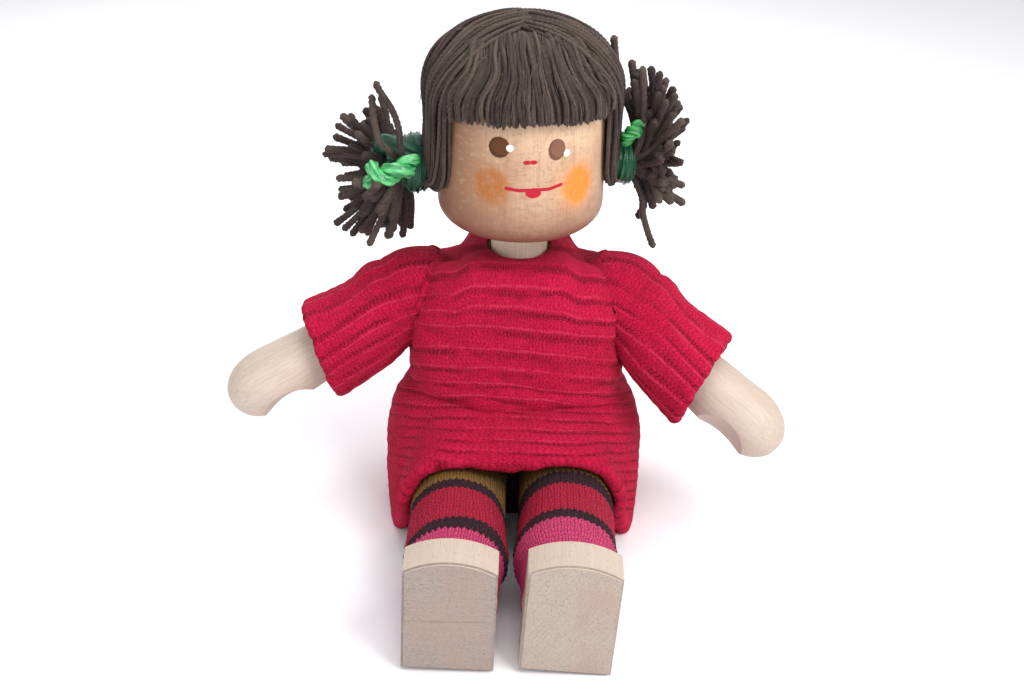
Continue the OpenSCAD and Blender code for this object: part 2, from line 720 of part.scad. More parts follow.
tuft_tip = [for (i = [0:tuft_sides - 1]) let (t = 360 * i / tuft_sides)
    [tuft_x + tuft_l, tuft_r * tuft_tip_share * sin(t), tuft_r * tuft_tip_share * cos(t)]];

module pigtail(side) {
    color(hair_brown) head_turned() on_side(side) translate([0, 0, pigtail_z])
        capped_tube(concat([neck_ring(pigtail_x), neck_ring(tuft_x)],
            [for (row = tuft_row_shares) tuft_ring(row)], [tuft_tip]));
}

// Hair tie: one unbroken turn after turn of cord round the pigtail's neck
tie_r = (pigtail_neck_d + tie_cord_d) / 2 + hair_gap;
tie_step_count = 24;
tie_sides = 6;
tie_start_x = pigtail_x + tie_cord_d / 2 + hair_gap;

function tie_centre(a) = [tie_start_x + tie_rise * a / 360, tie_r * sin(a), tie_r * cos(a)];

tie_rings = [for (k = [0:tie_turns * tie_step_count]) let (a = 360 * k / tie_step_count,
    along = unit([tie_rise / 360, tie_r * cos(a) * PI / 180, -tie_r * sin(a) * PI / 180]),
    out = [0, sin(a), cos(a)], side = cross(along, out))
    [for (i = [0:tie_sides - 1]) let (t = 360 * i / tie_sides)
        tie_centre(a) + tie_cord_d / 2 * (cos(t) * out + sin(t) * side)]];

tie_gap = min([for (k = [0:tie_step_count / 2:(tie_turns - 1) * tie_step_count])
    norm(tie_centre(360 * k / tie_step_count + 360) - tie_centre(360 * k / tie_step_count))]) - tie_cord_d;
echo(least_gap_between_turns = tie_gap);

module hair_tie(side) {
    color(tie_green) head_turned() on_side(side) translate([0, 0, pigtail_z]) capped_tube(tie_rings);
}

head();
neck_peg();
head_pin();
torso();
shoulder_ball(-1, left_arm_swing_angle);  // left_shoulder_ball
shoulder_ball(1, right_arm_swing_angle);  // right_shoulder_ball
stem_pin(-1);  // left_stem_pin
stem_pin(1);  // right_stem_pin
arm(-1, left_arm_drop_angle, left_arm_swing_angle);  // left_arm
arm(1, right_arm_drop_angle, right_arm_swing_angle);  // right_arm
arm_pin(-1, left_arm_swing_angle);  // left_arm_pin
arm_pin(1, right_arm_swing_angle);  // right_arm_pin
hip_pin();
leg(-1);  // left_leg
leg(1);  // right_leg
ankle_peg(-1);  // left_ankle_peg
ankle_peg(1);  // right_ankle_peg
foot(-1, left_foot_roll_angle);  // left_foot
foot(1, right_foot_roll_angle);  // right_foot
dress();
sleeve(-1, left_arm_drop_angle, left_arm_swing_angle);  // left_sleeve
sleeve(1, right_arm_drop_angle, right_arm_swing_angle);  // right_sleeve
tights_seat();
tights_leg(-1);  // left_tights_leg
tights_leg(1);  // right_tights_leg
hair_cap();
fringe();
pigtail(-1);  // left_pigtail
pigtail(1);  // right_pigtail
hair_tie(-1);  // left_hair_tie
hair_tie(1);  // right_hair_tie
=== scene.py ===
import math

import bmesh
import bpy
import numpy as np
from mathutils import Matrix, Vector


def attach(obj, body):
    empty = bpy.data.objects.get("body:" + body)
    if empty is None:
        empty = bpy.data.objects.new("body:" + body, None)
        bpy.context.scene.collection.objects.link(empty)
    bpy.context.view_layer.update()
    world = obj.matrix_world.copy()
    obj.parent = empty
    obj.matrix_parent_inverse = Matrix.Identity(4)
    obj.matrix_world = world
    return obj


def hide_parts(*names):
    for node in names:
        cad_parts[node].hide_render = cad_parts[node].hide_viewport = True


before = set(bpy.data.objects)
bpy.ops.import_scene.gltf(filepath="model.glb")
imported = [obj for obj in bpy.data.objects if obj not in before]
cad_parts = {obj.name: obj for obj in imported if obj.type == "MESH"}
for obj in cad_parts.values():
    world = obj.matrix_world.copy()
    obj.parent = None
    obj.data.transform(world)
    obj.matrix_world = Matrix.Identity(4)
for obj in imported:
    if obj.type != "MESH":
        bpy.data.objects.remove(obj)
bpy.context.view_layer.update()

mm = 0.001
rng = np.random.default_rng(7)

# where the doll's parts are, in millimetres, the same as in the CAD frame
doll = dict(headZ=88.5, headYaw=7.0, headR=23.7, shoulder=(27.0, 0.0, 66.0), leftDrop=31.5, rightDrop=42.5,
            leftSwing=28.0, rightSwing=42.0, hipZ=14.2, legX=15.7)
signs = dict(left=-1, right=1)


def smooth(v):
    v = np.clip(v, 0, 1)
    return v * v * (3 - 2 * v)


def mix(a, b, s):
    return a + (b - a) * s


# one array of points from numbers or arrays of coordinates
def xyz(*values):
    return np.stack(np.broadcast_arrays(*values), -1)


def ringAt(t, r, z):
    return xyz(r * np.cos(t), r * np.sin(t), z)


def roundSteps(count):
    return np.linspace(0, 2 * np.pi, count, endpoint=False)


def unit(v):
    return v / np.maximum(np.linalg.norm(v, axis=-1, keepdims=True), 1e-9)


def gaps(points):
    return np.linalg.norm(np.diff(points, axis=0), axis=-1)


# how far along a path each of its points is
def distances(path):
    return np.concatenate([[0], np.cumsum(gaps(path))])


def quadGrid(rows, cols, closed=True):
    k = np.arange(rows - 1)[:, None]
    i = np.arange(cols if closed else cols - 1)[None, :]
    j = (i + 1) % cols
    return k, i, xyz(k * cols + i, k * cols + j, (k + 1) * cols + j, (k + 1) * cols + i)


# points is rows x columns x 3 in millimetres; u and v have one more column where the grid is closed
def gridPiece(name, points, material, u=None, v=None, closed=True, thickness=0.0, keep=None):
    k, i, quads = quadGrid(*points.shape[:2], closed)
    corners = np.stack([xyz(k, i), xyz(k, i + 1), xyz(k + 1, i + 1), xyz(k + 1, i)], -2).reshape(-1, 4, 2)
    quads = quads.reshape(-1, 4)
    if keep is not None:
        good = keep.reshape(-1)[quads].all(axis=1)
        quads, corners = quads[good], corners[good]
    uv = None
    if u is not None:
        at = corners[..., 0], corners[..., 1]
        uv = xyz(*[values[at] for values in np.broadcast_arrays(u, v)])
    return meshPiece(name, points, quads.tolist(), uv, material, thickness)


def meshPiece(name, points, faces, uv, material, thickness=0.0):
    mesh = bpy.data.meshes.new(name)
    mesh.from_pydata((points.reshape(-1, 3) * mm).tolist(), [], faces)
    if uv is not None:
        mesh.uv_layers.new(name="clothUv").data.foreach_set("uv", uv.reshape(-1))
    mesh.polygons.foreach_set("use_smooth", [True] * len(mesh.polygons))
    mesh.materials.append(material)
    piece = bpy.data.objects.new(name, mesh)
    bpy.context.scene.collection.objects.link(piece)
    work = bmesh.new()
    work.from_mesh(mesh)
    bmesh.ops.delete(work, geom=[v for v in work.verts if not v.link_faces], context="VERTS")
    work.to_mesh(mesh)
    work.free()
    if thickness:
        shell = piece.modifiers.new("thickness", "SOLIDIFY")
        shell.thickness, shell.offset = thickness * mm, -1
        graph = bpy.context.evaluated_depsgraph_get()
        solid = bpy.data.meshes.new_from_object(piece.evaluated_get(graph))
        piece.modifiers.clear()
        piece.data = solid
    return piece


def evenPath(path, count):
    s = distances(path)
    at = np.linspace(0, s[-1], count)
    return xyz(*[np.interp(at, s, path[:, k]) for k in range(3)])


# a smooth path of count points through the given ones, evenly spaced along it
def spline(points, count):
    p = np.asarray(points, float)
    p = np.vstack([2 * p[0] - p[1], p, 2 * p[-1] - p[-2]])
    t = np.linspace(0, 1, 24, endpoint=False)[:, None]
    path = [between(*p[n:n + 4], t) for n in range(len(p) - 3)]
    return evenPath(np.vstack(path + [p[-2:-1]]), count)


def between(a, b, c, d, t):
    return 0.5 * (2 * b + (c - a) * t + (2 * a - 5 * b + 4 * c - d) * t ** 2
                  + (3 * b - a - 3 * c + d) * t ** 3)


# rings of a twisted strand round a path, and how far along it each ring is
def strandRings(path, radius, plies, pitch, sides, depth, phase, endRound, flare):
    tangent = unit(np.gradient(path, axis=0))
    side = np.cross(tangent[0], [0.31, 0.87, 0.39])
    first = []
    for t in tangent:
        side = unit(side - t * np.dot(side, t))
        first.append(side)
    first = np.array(first)
    second = np.cross(tangent, first)
    s = distances(path)
    a = roundSteps(sides)[None, :]
    r = radius * (1 + flare * smooth((s - s[-1] + 4.0) / 3.0))[:, None]
    r = r * (1 - depth * (0.5 - 0.5 * np.cos(plies * (a - 2 * np.pi * s[:, None] / pitch) + phase)))
    fromEnd = np.minimum(s, s[-1] - s)[:, None]
    r = r * np.sqrt(np.clip(fromEnd / endRound, 0.12, 1))
    around = np.cos(a)[..., None] * first[:, None, :] + np.sin(a)[..., None] * second[:, None, :]
    return path[:, None, :] + r[..., None] * around, s


# many twisted strands in one mesh; the whole part of u numbers the strand and v runs along it
def strandPiece(name, paths, material, radius=0.8, plies=3, pitch=4.2, sides=9, step=0.7, depth=0.32,
                endRound=0.5, flare=0.0):
    points, faces, uvs, start = [], [], [], 0
    for number, path in enumerate(paths):
        path = evenPath(path, max(5, int(float(gaps(path).sum()) / step)))
        size = radius * rng.uniform(0.9, 1.1)
        rings, s = strandRings(path, size, plies, pitch, sides, depth, rng.uniform(0, 6.28), endRound, flare)
        rows = len(rings)
        _, i, quads = quadGrid(rows, sides)
        faces += (start + quads).reshape(-1, 4).tolist()
        u0, u1 = number + 0.05 + 0.9 * i / sides, number + 0.05 + 0.9 * (i + 1) / sides
        v0, v1 = s[:-1, None] + number * 13.7, s[1:, None] + number * 13.7
        uvs.append(np.stack([xyz(u0, v0), xyz(u1, v0), xyz(u1, v1), xyz(u0, v1)], -2).reshape(-1, 2))
        for row, turn in ((0, -1), (rows - 1, 1)):
            faces.append([start + row * sides + n for n in range(sides)][::turn])
            uvs.append(np.full((sides, 2), number + 0.5))
        points.append(rings.reshape(-1, 3))
        start += rows * sides
    return meshPiece(name, np.vstack(points), faces, np.vstack(uvs), material)


# one output of a shader node; sums and products of these make the nodes that work them out
class Wire:
    def __init__(self, tree, socket):
        self.tree, self.socket = tree, socket

    def __add__(self, other):
        return calc("ADD", self, other)

    def __sub__(self, other):
        return calc("SUBTRACT", self, other)

    def __rsub__(self, other):
        return calc("SUBTRACT", other, self)

    def __mul__(self, other):
        return calc("MULTIPLY", self, other)

    def __truediv__(self, other):
        return calc("DIVIDE", self, other)


def addNode(tree, kind, inputs=None, output=0, **settings):
    node = tree.nodes.new("ShaderNode" + kind)
    for key, value in settings.items():
        setattr(node, key, value)
    for key, value in (inputs or {}).items():
        plug(node, key, value)
    return Wire(tree, node.outputs[output])


def plug(node, key, value):
    if isinstance(value, Wire):
        value.tree.links.new(value.socket, node.inputs[key])
    else:
        node.inputs[key].default_value = value


def treeOf(*values):
    return next(value.tree for value in values if isinstance(value, Wire))


def calc(operation, a, b=0.0, c=0.0, clamp=False):
    return addNode(treeOf(a, b, c), "Math", {0: a, 1: b, 2: c}, operation=operation, use_clamp=clamp)


def scaled(value, by, plus, clamp=False):
    return calc("MULTIPLY_ADD", value, by, plus, clamp)


def vecCalc(operation, a, b):
    output = "Value" if operation == "DOT_PRODUCT" else "Vector"
    return addNode(a.tree, "VectorMath", {0: a, 1: b}, output, operation=operation)


def stretched(vector, by):
    return vecCalc("MULTIPLY", vector, by)


def blendColour(factor, a, b):
    inputs = {0: factor}
    for key, value in ((6, a), (7, b)):
        inputs[key] = value if isinstance(value, Wire) else (*value, 1)
    return addNode(treeOf(factor, a, b), "Mix", inputs, 2, data_type="RGBA")


# each layer is how much of it shows, and its colour
def layered(colour, *layers):
    for factor, tint in layers:
        colour = blendColour(factor, colour, tint)
    return colour


# 0 below low and 1 above high, with a smooth step between
def ramp(value, low, high):
    return addNode(value.tree, "MapRange", {"Value": value, "From Min": low, "From Max": high},
                   interpolation_type="SMOOTHSTEP")


def noise(vector, scale, detail=3.0, rough=0.55):
    return addNode(vector.tree, "TexNoise", {"Vector": vector, "Scale": scale, "Detail": detail,
                                             "Roughness": rough})


def combine(x, y, z):
    return addNode(treeOf(x, y, z), "CombineXYZ", {0: x, 1: y, 2: z})


# a node's outputs by their names
def wires(tree, node):
    return {socket.name: Wire(tree, socket) for socket in node.outputs}


def separate(vector):
    node = addNode(vector.tree, "SeparateXYZ", {0: vector}).socket.node
    return list(wires(vector.tree, node).values())


def makeGroup(name, inputs, outputs):
    group = bpy.data.node_groups.new(name, "ShaderNodeTree")
    for title, value in inputs.items():
        kind = "Vector" if value is None else "Float"
        socket = group.interface.new_socket(title, in_out="INPUT", socket_type="NodeSocket" + kind)
        if value is not None:
            socket.default_value = value
    for title in outputs:
        group.interface.new_socket(title, in_out="OUTPUT", socket_type="NodeSocketFloat")
    source, sink = group.nodes.new("NodeGroupInput"), group.nodes.new("NodeGroupOutput")
    return group, wires(group, source), sink


def useGroup(tree, group, inputs):
    node = tree.nodes.new("ShaderNodeGroup")
    node.node_tree = group
    for key, value in inputs.items():
        plug(node, key, value)
    return wires(tree, node)


def newMaterial(name, **settings):
    material = bpy.data.materials.new(name)
    material.use_nodes = True
    shader = material.node_tree.nodes["Principled BSDF"]
    for key, value in settings.items():
        shader.inputs[key].default_value = value
    return material, material.node_tree, shader


def bumpFrom(height, distance, strength=1.0):
    return addNode(height.tree, "Bump", {"Height": height, "Distance": distance, "Strength": strength})


# grain along Z of the vector, in millimetres: long streaks, short dark flecks and growth rings
def makeWoodGroup():
    inputs = {"Vector": None, "Streaks": 1.0, "Flecks": 1.0, "Rings": 0.3, "RingGap": 1.3}
    group, source, sink = makeGroup("woodGrain", inputs, ["Tone", "Fleck", "Height"])
    p = source["Vector"]
    x, y, _ = separate(p)
    drift = noise(stretched(p, (0.08, 0.08, 0.02)), 1.0, 2.0)
    streak = noise(stretched(p, (1.6, 1.6, 0.06)), 1.0, 4.0, 0.6)
    fleckField = noise(stretched(p, (2.6, 2.6, 0.7)), 1.0, 2.0, 0.5)
    fleck = ramp(fleckField, 0.62, 0.73)
    off = x + 9.0
    radius = calc("SQRT", off * off + y * y) + drift * 7.0
    ring = calc("SINE", radius * 6.2832 / source["RingGap"])
    ring = calc("POWER", scaled(ring, 0.5, 0.5), 3.0)
    plug(sink, "Tone", (streak - 0.5) * source["Streaks"] - ring * source["Rings"] + (drift - 0.5))
    plug(sink, "Fleck", fleck * source["Flecks"])
    plug(sink, "Height", streak * 0.6 + fleck * -0.5)
    return group


# columns of V stitches; Across and Along are millimetres over and along the columns
def makeStitchGroup():
    inputs = {"Across": 0.0, "Along": 0.0, "Column": 1.0, "Row": 0.8, "Vector": None, "Fuzz": 0.5,
              "Edges": 1.0, "Loops": 0.5}
    group, source, sink = makeGroup("knitStitch", inputs, ["Height", "PitShade", "Fibre"])
    wobble = noise(source["Vector"], 0.35, 2.0)
    across = source["Across"] / source["Column"] + wobble * 0.9
    a = calc("FRACT", across) - 0.5
    m = calc("ABSOLUTE", a) * 2.0
    along = source["Along"] / source["Row"] + wobble * 1.3
    phase = calc("FRACT", scaled(m, 0.6, along))
    leg = calc("SINE", m * 3.1416)
    loop = calc("SINE", phase * 3.1416)
    height = calc("POWER", leg, 0.55) * scaled(loop, 0.7, 0.3)
    soft = (noise(source["Vector"], 2.2, 3.0) - 0.5) * 0.9
    sunkEdge = 1.0 - ramp(leg + soft, 0.15, 0.6)
    sunkLoop = 1.0 - ramp(loop + soft, 0.2, 0.75)
    # the sunk edges and loops, which the materials darken as painted shade in the knit's hollows
    pit = calc("MAXIMUM", sunkEdge * source["Edges"], sunkLoop * source["Loops"])
    fibre = noise(source["Vector"], 4.5, 4.0, 0.7)
    plug(sink, "Height", height + (fibre - 0.5) * source["Fuzz"])
    plug(sink, "PitShade", pit)
    plug(sink, "Fibre", fibre)
    return group


woodGroup = makeWoodGroup()
stitchGroup = makeStitchGroup()


# object coordinates in millimetres, seen along three axes of a piece from its own origin
def turnedMm(tree, origin=(0, 0, 0), axes=None):
    p = stretched(addNode(tree, "TexCoord", output="Object"), (1000, 1000, 1000))
    if axes is None:
        return p
    p = vecCalc("SUBTRACT", p, origin)
    return combine(*[vecCalc("DOT_PRODUCT", p, tuple(axis)) for axis in axes])


woods = dict(
    inner=dict(colour=(0.60, 0.42, 0.26), dark=(0.40, 0.24, 0.13), rough=0.55, rings=0.25, flecks=0.5),
    # the neck's wood is much lighter than the other wood: painted light, to make up for the head's shadow on
    # it
    neck=dict(colour=(0.98, 0.82, 0.66), dark=(0.62, 0.42, 0.3), rough=0.5, rings=0.1, flecks=1.0),
    pale=dict(colour=(0.62, 0.52, 0.44), dark=(0.38, 0.26, 0.19), rough=0.55, rings=0.10, flecks=0.7))


def woodMaterial(name, values, axes=None, origin=(0, 0, 0), clothTo=None):
    material, tree, shader = newMaterial(name)
    grain = useGroup(tree, woodGroup, {"Vector": turnedMm(tree, origin, axes), "Rings": values["rings"],
                                       "Flecks": values["flecks"]})
    tone = scaled(grain["Tone"], -0.9, 0.16, clamp=True)
    colour = blendColour(tone, values["colour"], values["dark"])
    colour = blendColour(grain["Fleck"] * 0.5, colour, values["dark"])
    if clothTo:  # below this height the tights are stretched over the wood
        colour = blendColour(ramp(separate(turnedMm(tree))[2], clothTo + 1, clothTo), colour,
                             (0.30, 0.165, 0.028))
    plug(shader, "Base Color", colour)
    plug(shader, "Roughness", scaled(grain["Tone"], 0.15, values["rough"]))
    plug(shader, "Normal", bumpFrom(grain["Height"], 0.00012, 0.5))
    return material


# the face is painted by hand: places are millimetres across the front and above the chin
face = dict(wood=(0.76, 0.535, 0.36), middle=(0.585, 0.395, 0.265), dark=(0.33, 0.17, 0.10),
            chinShade=(0.18, 0.055, 0.038),
            eyes=[(-8.96, 31.3, 2.95, 2.95, (0.13, 0.045, 0.010)),
                  (6.9, 30.6, 2.5, 3.05, (0.25, 0.11, 0.07))],
            lights=[(-6.0, 31.3, 1.0), (10.0, 29.2, 1.0)],
            nose=[(-1.35, 27.4, 1.05, 0.62), (0.45, 27.45, 1.05, 0.6)], red=(0.46, 0.010, 0.028),
            mouth=[(-6.8, 19.8), (-3.6, 19.35), (0.5, 19.5), (4.95, 19.5), (8.5, 20.4)], mouthT=0.5,
            lip=(0.6, 18.6, 2.2, 1.5),
            cheeks=[(-11.3, 19.9, 4.9, 5.2, 0.85, (0.42, 0.15, 0.04)),
                    (14.2, 19.2, 4.7, 5.4, 1.0, (0.80, 0.245, 0.034))])


def faceMaterial():
    material, tree, shader = newMaterial("faceWood", **{"Specular IOR Level": 0.2})
    yaw = math.radians(doll["headYaw"])
    axes = (math.cos(yaw), math.sin(yaw), 0), (-math.sin(yaw), math.cos(yaw), 0), (0, 0, 1)
    p = turnedMm(tree, (0, 0, doll["headZ"]), axes)
    x, y, h = separate(p)
    across = calc("ARCTAN2", x, y * -1.0) * doll["headR"]
    grain = useGroup(tree, woodGroup, {"Vector": p, "Rings": 0.1, "Flecks": 1.0, "Streaks": 1.1})
    front = ramp(y * -1.0, -4.0, 6.0)
    patch = noise(stretched(p, (0.6, 0.6, 0.36)), 1.0, 5.0, 0.7) - 0.5
    edge = (noise(p, 1.2, 3.0) - 0.5) * 0.35

    # 1 inside an oval, falling to 0 over a soft edge
    def spot(cx, cy, rx, ry, soft, rough=0.0):
        dx = (across - cx) / rx
        dy = (h - cy) / ry
        d = calc("SQRT", dx * dx + dy * dy)
        d = d + edge * rough
        return (1.0 - ramp(d, 1 - soft, 1 + soft)) * front

    tone = scaled(grain["Tone"], -0.9, 0.14, clamp=True)
    # lighter above the eyes and darker below them: painted light on the forehead, which makes up for the
    # fringe's shadow
    colour = blendColour(ramp(h, 36.0, 24.0), face["wood"], face["middle"])
    colour = layered(colour, (tone, face["dark"]), (grain["Fleck"] * 0.55, face["dark"]))
    blotch = noise(stretched(p, (0.3, 0.3, 0.12)), 1.0, 3.0, 0.6)
    # the blotches are the wood's own tone; the head's left side is darkened as painted shade, where it turns
    # away from the key light
    colour = layered(colour, (ramp(blotch, 0.5, 0.72) * 0.3, face["dark"]),
                     (ramp(x, -4.0, -20.1) * 0.95, face["dark"]))
    mottle = noise(stretched(p, (0.8, 0.8, 1.1)), 1.0, 4.0, 0.7)
    dapple = noise(stretched(p, (0.35, 0.35, 0.9)), 1.0, 4.0, 0.65)
    colour = layered(colour, (ramp(dapple, 0.5, 0.7) * 0.28, face["dark"]),
                     (ramp(dapple, 0.48, 0.3) * 0.25, face["wood"]))
    near = ramp(calc("ABSOLUTE", across), 15.0, 6.0) * ramp(h, 33.0, 29.0)
    # the mottle near the middle of the face is the wood's own tone; the chin layer is painted shade, darker
    # towards the chin
    colour = layered(colour, (ramp(mottle, 0.52, 0.68) * near * 0.5, face["dark"]),
                     (ramp(h, 19.0, -1.0) * 0.96, face["chinShade"]))
    for cx, cy, rx, ry, strength, tint in face["cheeks"]:
        mask = spot(cx, cy, rx, ry, 0.42, 1.6) + spot(cx, cy, rx * 1.5, ry * 1.35, 0.6, 2.0) * 0.35
        patchy = scaled(patch, 1.7, 0.8, clamp=True)
        colour = blendColour(calc("MULTIPLY", mask * patchy, strength, clamp=True), colour, tint)
    paint = 0.0
    for cx, cy, rx, ry, tint in face["eyes"]:
        mask = spot(cx, cy, rx, ry, 0.045, 0.35)
        shade = blendColour(scaled(patch, 0.9, 0.4, clamp=True), tint, tuple(c * 0.72 for c in tint))
        rim = calc("SUBTRACT", mask, spot(cx + 0.45, cy + 0.35, rx * 0.84, ry * 0.84, 0.1, 0.5), clamp=True)
        shade = blendColour(rim * 0.55, shade, tuple(c * 0.4 for c in tint))
        colour = blendColour(mask, colour, shade)
        paint = calc("MAXIMUM", paint, mask)
    red = spot(*face["lip"], 0.08, 0.5)
    for oval in face["nose"]:
        red = calc("MAXIMUM", red, spot(*oval, 0.14, 0.5))
    for (x0, h0), (x1, h1) in zip(face["mouth"], face["mouth"][1:]):
        span = math.hypot(x1 - x0, h1 - h0)
        ux, uh = (x1 - x0) / span, (h1 - h0) / span
        dx, dh = across - x0, h - h0
        t = dx * ux + dh * uh
        t = calc("MINIMUM", calc("MAXIMUM", t, 0.0), span)
        ex = dx - t * ux
        eh = dh - t * uh
        d = calc("SQRT", ex * ex + eh * eh)
        d = d + edge * 0.35
        stroke = 1.0 - ramp(d, face["mouthT"] * 0.85, face["mouthT"] * 1.15)
        red = calc("MAXIMUM", red, stroke * front)
    colour = blendColour(red, colour, face["red"])
    paint = calc("MAXIMUM", paint, red)
    for cx, cy, r in face["lights"]:
        mask = spot(cx, cy, r, r, 0.12, 0.6)
        colour = blendColour(mask, colour, (0.93, 0.91, 0.87))
        paint = calc("MAXIMUM", paint, mask)
    plug(shader, "Base Color", colour)
    plug(shader, "Roughness", scaled(paint, -0.15, 0.48))
    height = paint * 1.2 + grain["Height"] * 0.5
    plug(shader, "Normal", bumpFrom(height, 0.00008, 0.6))
    return material


foot = dict(band=(0.53, 0.445, 0.375), side=(0.44, 0.33, 0.25), speck=(0.17, 0.105, 0.075),
            blush=(0.50, 0.34, 0.27),
            left=dict(sole=(0.46, 0.375, 0.335), saw=2, rows=1.9),
            right=dict(sole=(0.59, 0.475, 0.405), saw=52, rows=2.6))


# pale edge with fine upright lines and a duller sawn sole
def footMaterial(side):
    values = foot[side]
    material, tree, shader = newMaterial(side + "FootWood", Roughness=0.6)
    p = turnedMm(tree)
    x, y, z = separate(p)
    grain = useGroup(tree, woodGroup, {"Vector": combine(z, x, y), "Rings": 0.06, "Flecks": 0.25,
                                       "Streaks": 0.6, "RingGap": 2.4})
    lines = noise(stretched(p, (1.1, 0.05, 0.35)), 1.0, 3.0)
    band = blendColour(scaled(lines, 0.9, -0.3, clamp=True), foot["band"], foot["side"])
    saw = math.radians(values["saw"])
    along = x * math.cos(saw) + z * math.sin(saw)
    over = z * math.cos(saw) - x * math.sin(saw)
    q = combine(along, y, over)
    marks = noise(stretched(q, (0.12, 0.1, values["rows"])), 1.0, 3.0, 0.6)
    specks = noise(stretched(q, (1.7, 1.0, 3.4)), 1.0, 4.0, 0.7)
    blotch = noise(p, 0.09, 2.0)
    sole = blendColour(ramp(marks, 0.35, 0.75) * 0.6, values["sole"], tuple(c * 0.78 for c in values["sole"]))
    worn = noise(stretched(q, (1.2, 1.0, 1.6)), 1.0, 5.0, 0.75)
    sole = layered(sole, (ramp(worn, 0.5, 0.38) * 0.55, tuple(c * 0.6 for c in values["sole"])),
                   (ramp(worn, 0.54, 0.66) * 0.5, foot["band"]),
                   (ramp(specks, 0.55, 0.68) * 0.6, foot["speck"]),
                   (ramp(specks, 0.45, 0.32) * 0.6, foot["band"]),
                   (ramp(blotch, 0.45, 0.65) * 0.4, foot["blush"]))
    if side == "left":
        line = calc("ABSOLUTE", z - 17.3 + marks * 1.2)
        sole = blendColour(ramp(line, 0.35, 0.1) * 0.25, sole, foot["speck"])
    facing = separate(addNode(tree, "TexCoord", output="Normal"))[1]
    isSole = ramp(facing * -1.0, 0.35, 0.6)
    plug(shader, "Base Color", blendColour(isSole, band, sole))
    height = grain["Height"] + isSole * ((worn * 2.0 + specks) * 1.6)
    plug(shader, "Normal", bumpFrom(height, 0.0003, 0.8))
    return material


def clothUv(tree):
    return separate(addNode(tree, "UVMap", uv_map="clothUv"))


# one unit of v is one repeat of the ribs
# pit is the colour of the painted shade in the knit's hollows, and also of the felt's darker flecks
dressCloth = dict(colour=(0.545, 0.0072, 0.045), bright=(0.80, 0.017, 0.088), pit=(0.17, 0.001, 0.013),
                  line=(0.82, 0.070, 0.15), repeat=6.0, column=2.1, row=1.25)


def dressMaterial(name):
    material, tree, shader = newMaterial(name, **{
        "Roughness": 0.9, "Sheen Weight": 0.05, "Sheen Roughness": 0.4, "Sheen Tint": (1.0, 0.3, 0.4, 1),
        "Specular IOR Level": 0.12})
    u, v, _ = clothUv(tree)
    p = turnedMm(tree)
    stitch = useGroup(tree, stitchGroup, {"Across": v * dressCloth["repeat"], "Along": u,
                                          "Column": dressCloth["column"], "Row": dressCloth["row"],
                                          "Vector": p, "Fuzz": 1.5, "Edges": 0.35, "Loops": 1.0})
    sway = (noise(p, 0.12, 2.0) - 0.5) * 0.1
    inRib = calc("FRACT", v + sway)
    wide = noise(stretched(p, (0.045, 0.045, 0.12)), 1.0, 3.0)
    line = 1.0 - ramp(calc("ABSOLUTE", inRib - 0.5), 0.01, 0.06)
    line = line * ramp(wide, 0.36, 0.52)
    openBand = ramp(inRib, 0.52, 0.7) * ramp(inRib, 1.0, 0.75)
    openBand = openBand * ramp(noise(p, 0.07, 2.0), 0.36, 0.56)
    broad = noise(p, 0.07, 3.0)
    colour = blendColour(scaled(broad, 1.3, -0.35, clamp=True), dressCloth["colour"], dressCloth["bright"])
    felt = noise(p, 1.3, 3.0, 0.65)
    colour = layered(colour, (ramp(felt, 0.5, 0.72) * 0.7, dressCloth["bright"]),
                     (ramp(felt, 0.5, 0.3) * 0.45, dressCloth["pit"]),
                     (ramp(stitch["Fibre"], 0.5, 0.72) * 0.6, dressCloth["bright"]),
                     (ramp(stitch["Fibre"], 0.48, 0.3) * 0.4, dressCloth["pit"]))
    # painted shade: the stitch pits, and more lightly the open bands between the ribs, are darkened
    pitShade = stitch["PitShade"] * scaled(openBand, 0.55, 0.4)
    colour = layered(colour, (pitShade, dressCloth["pit"]), (openBand * 0.12, dressCloth["pit"]))
    line = line * ramp(separate(p)[2], 26.0, 40.0)
    thin = ramp(noise(p, 0.6, 3.0), 0.3, 0.55)
    colour = blendColour(line * thin * 0.36, colour, dressCloth["line"])
    plug(shader, "Base Color", colour)
    height = stitch["Height"] * scaled(openBand, 0.6, 0.6) + line * 0.5
    plug(shader, "Normal", bumpFrom(height, 0.0005, 1.0))
    return material


tightsCloth = dict(red=(0.66, 0.008, 0.055), pink=(0.90, 0.075, 0.25), black=(0.012, 0.009, 0.014),
                   mustard=(0.36, 0.20, 0.03),
                   column=1.75, edges=dict(left=(44.2, 48.6, 63.6, 68.0), right=(38.4, 44.6, 58.2, 62.8)))


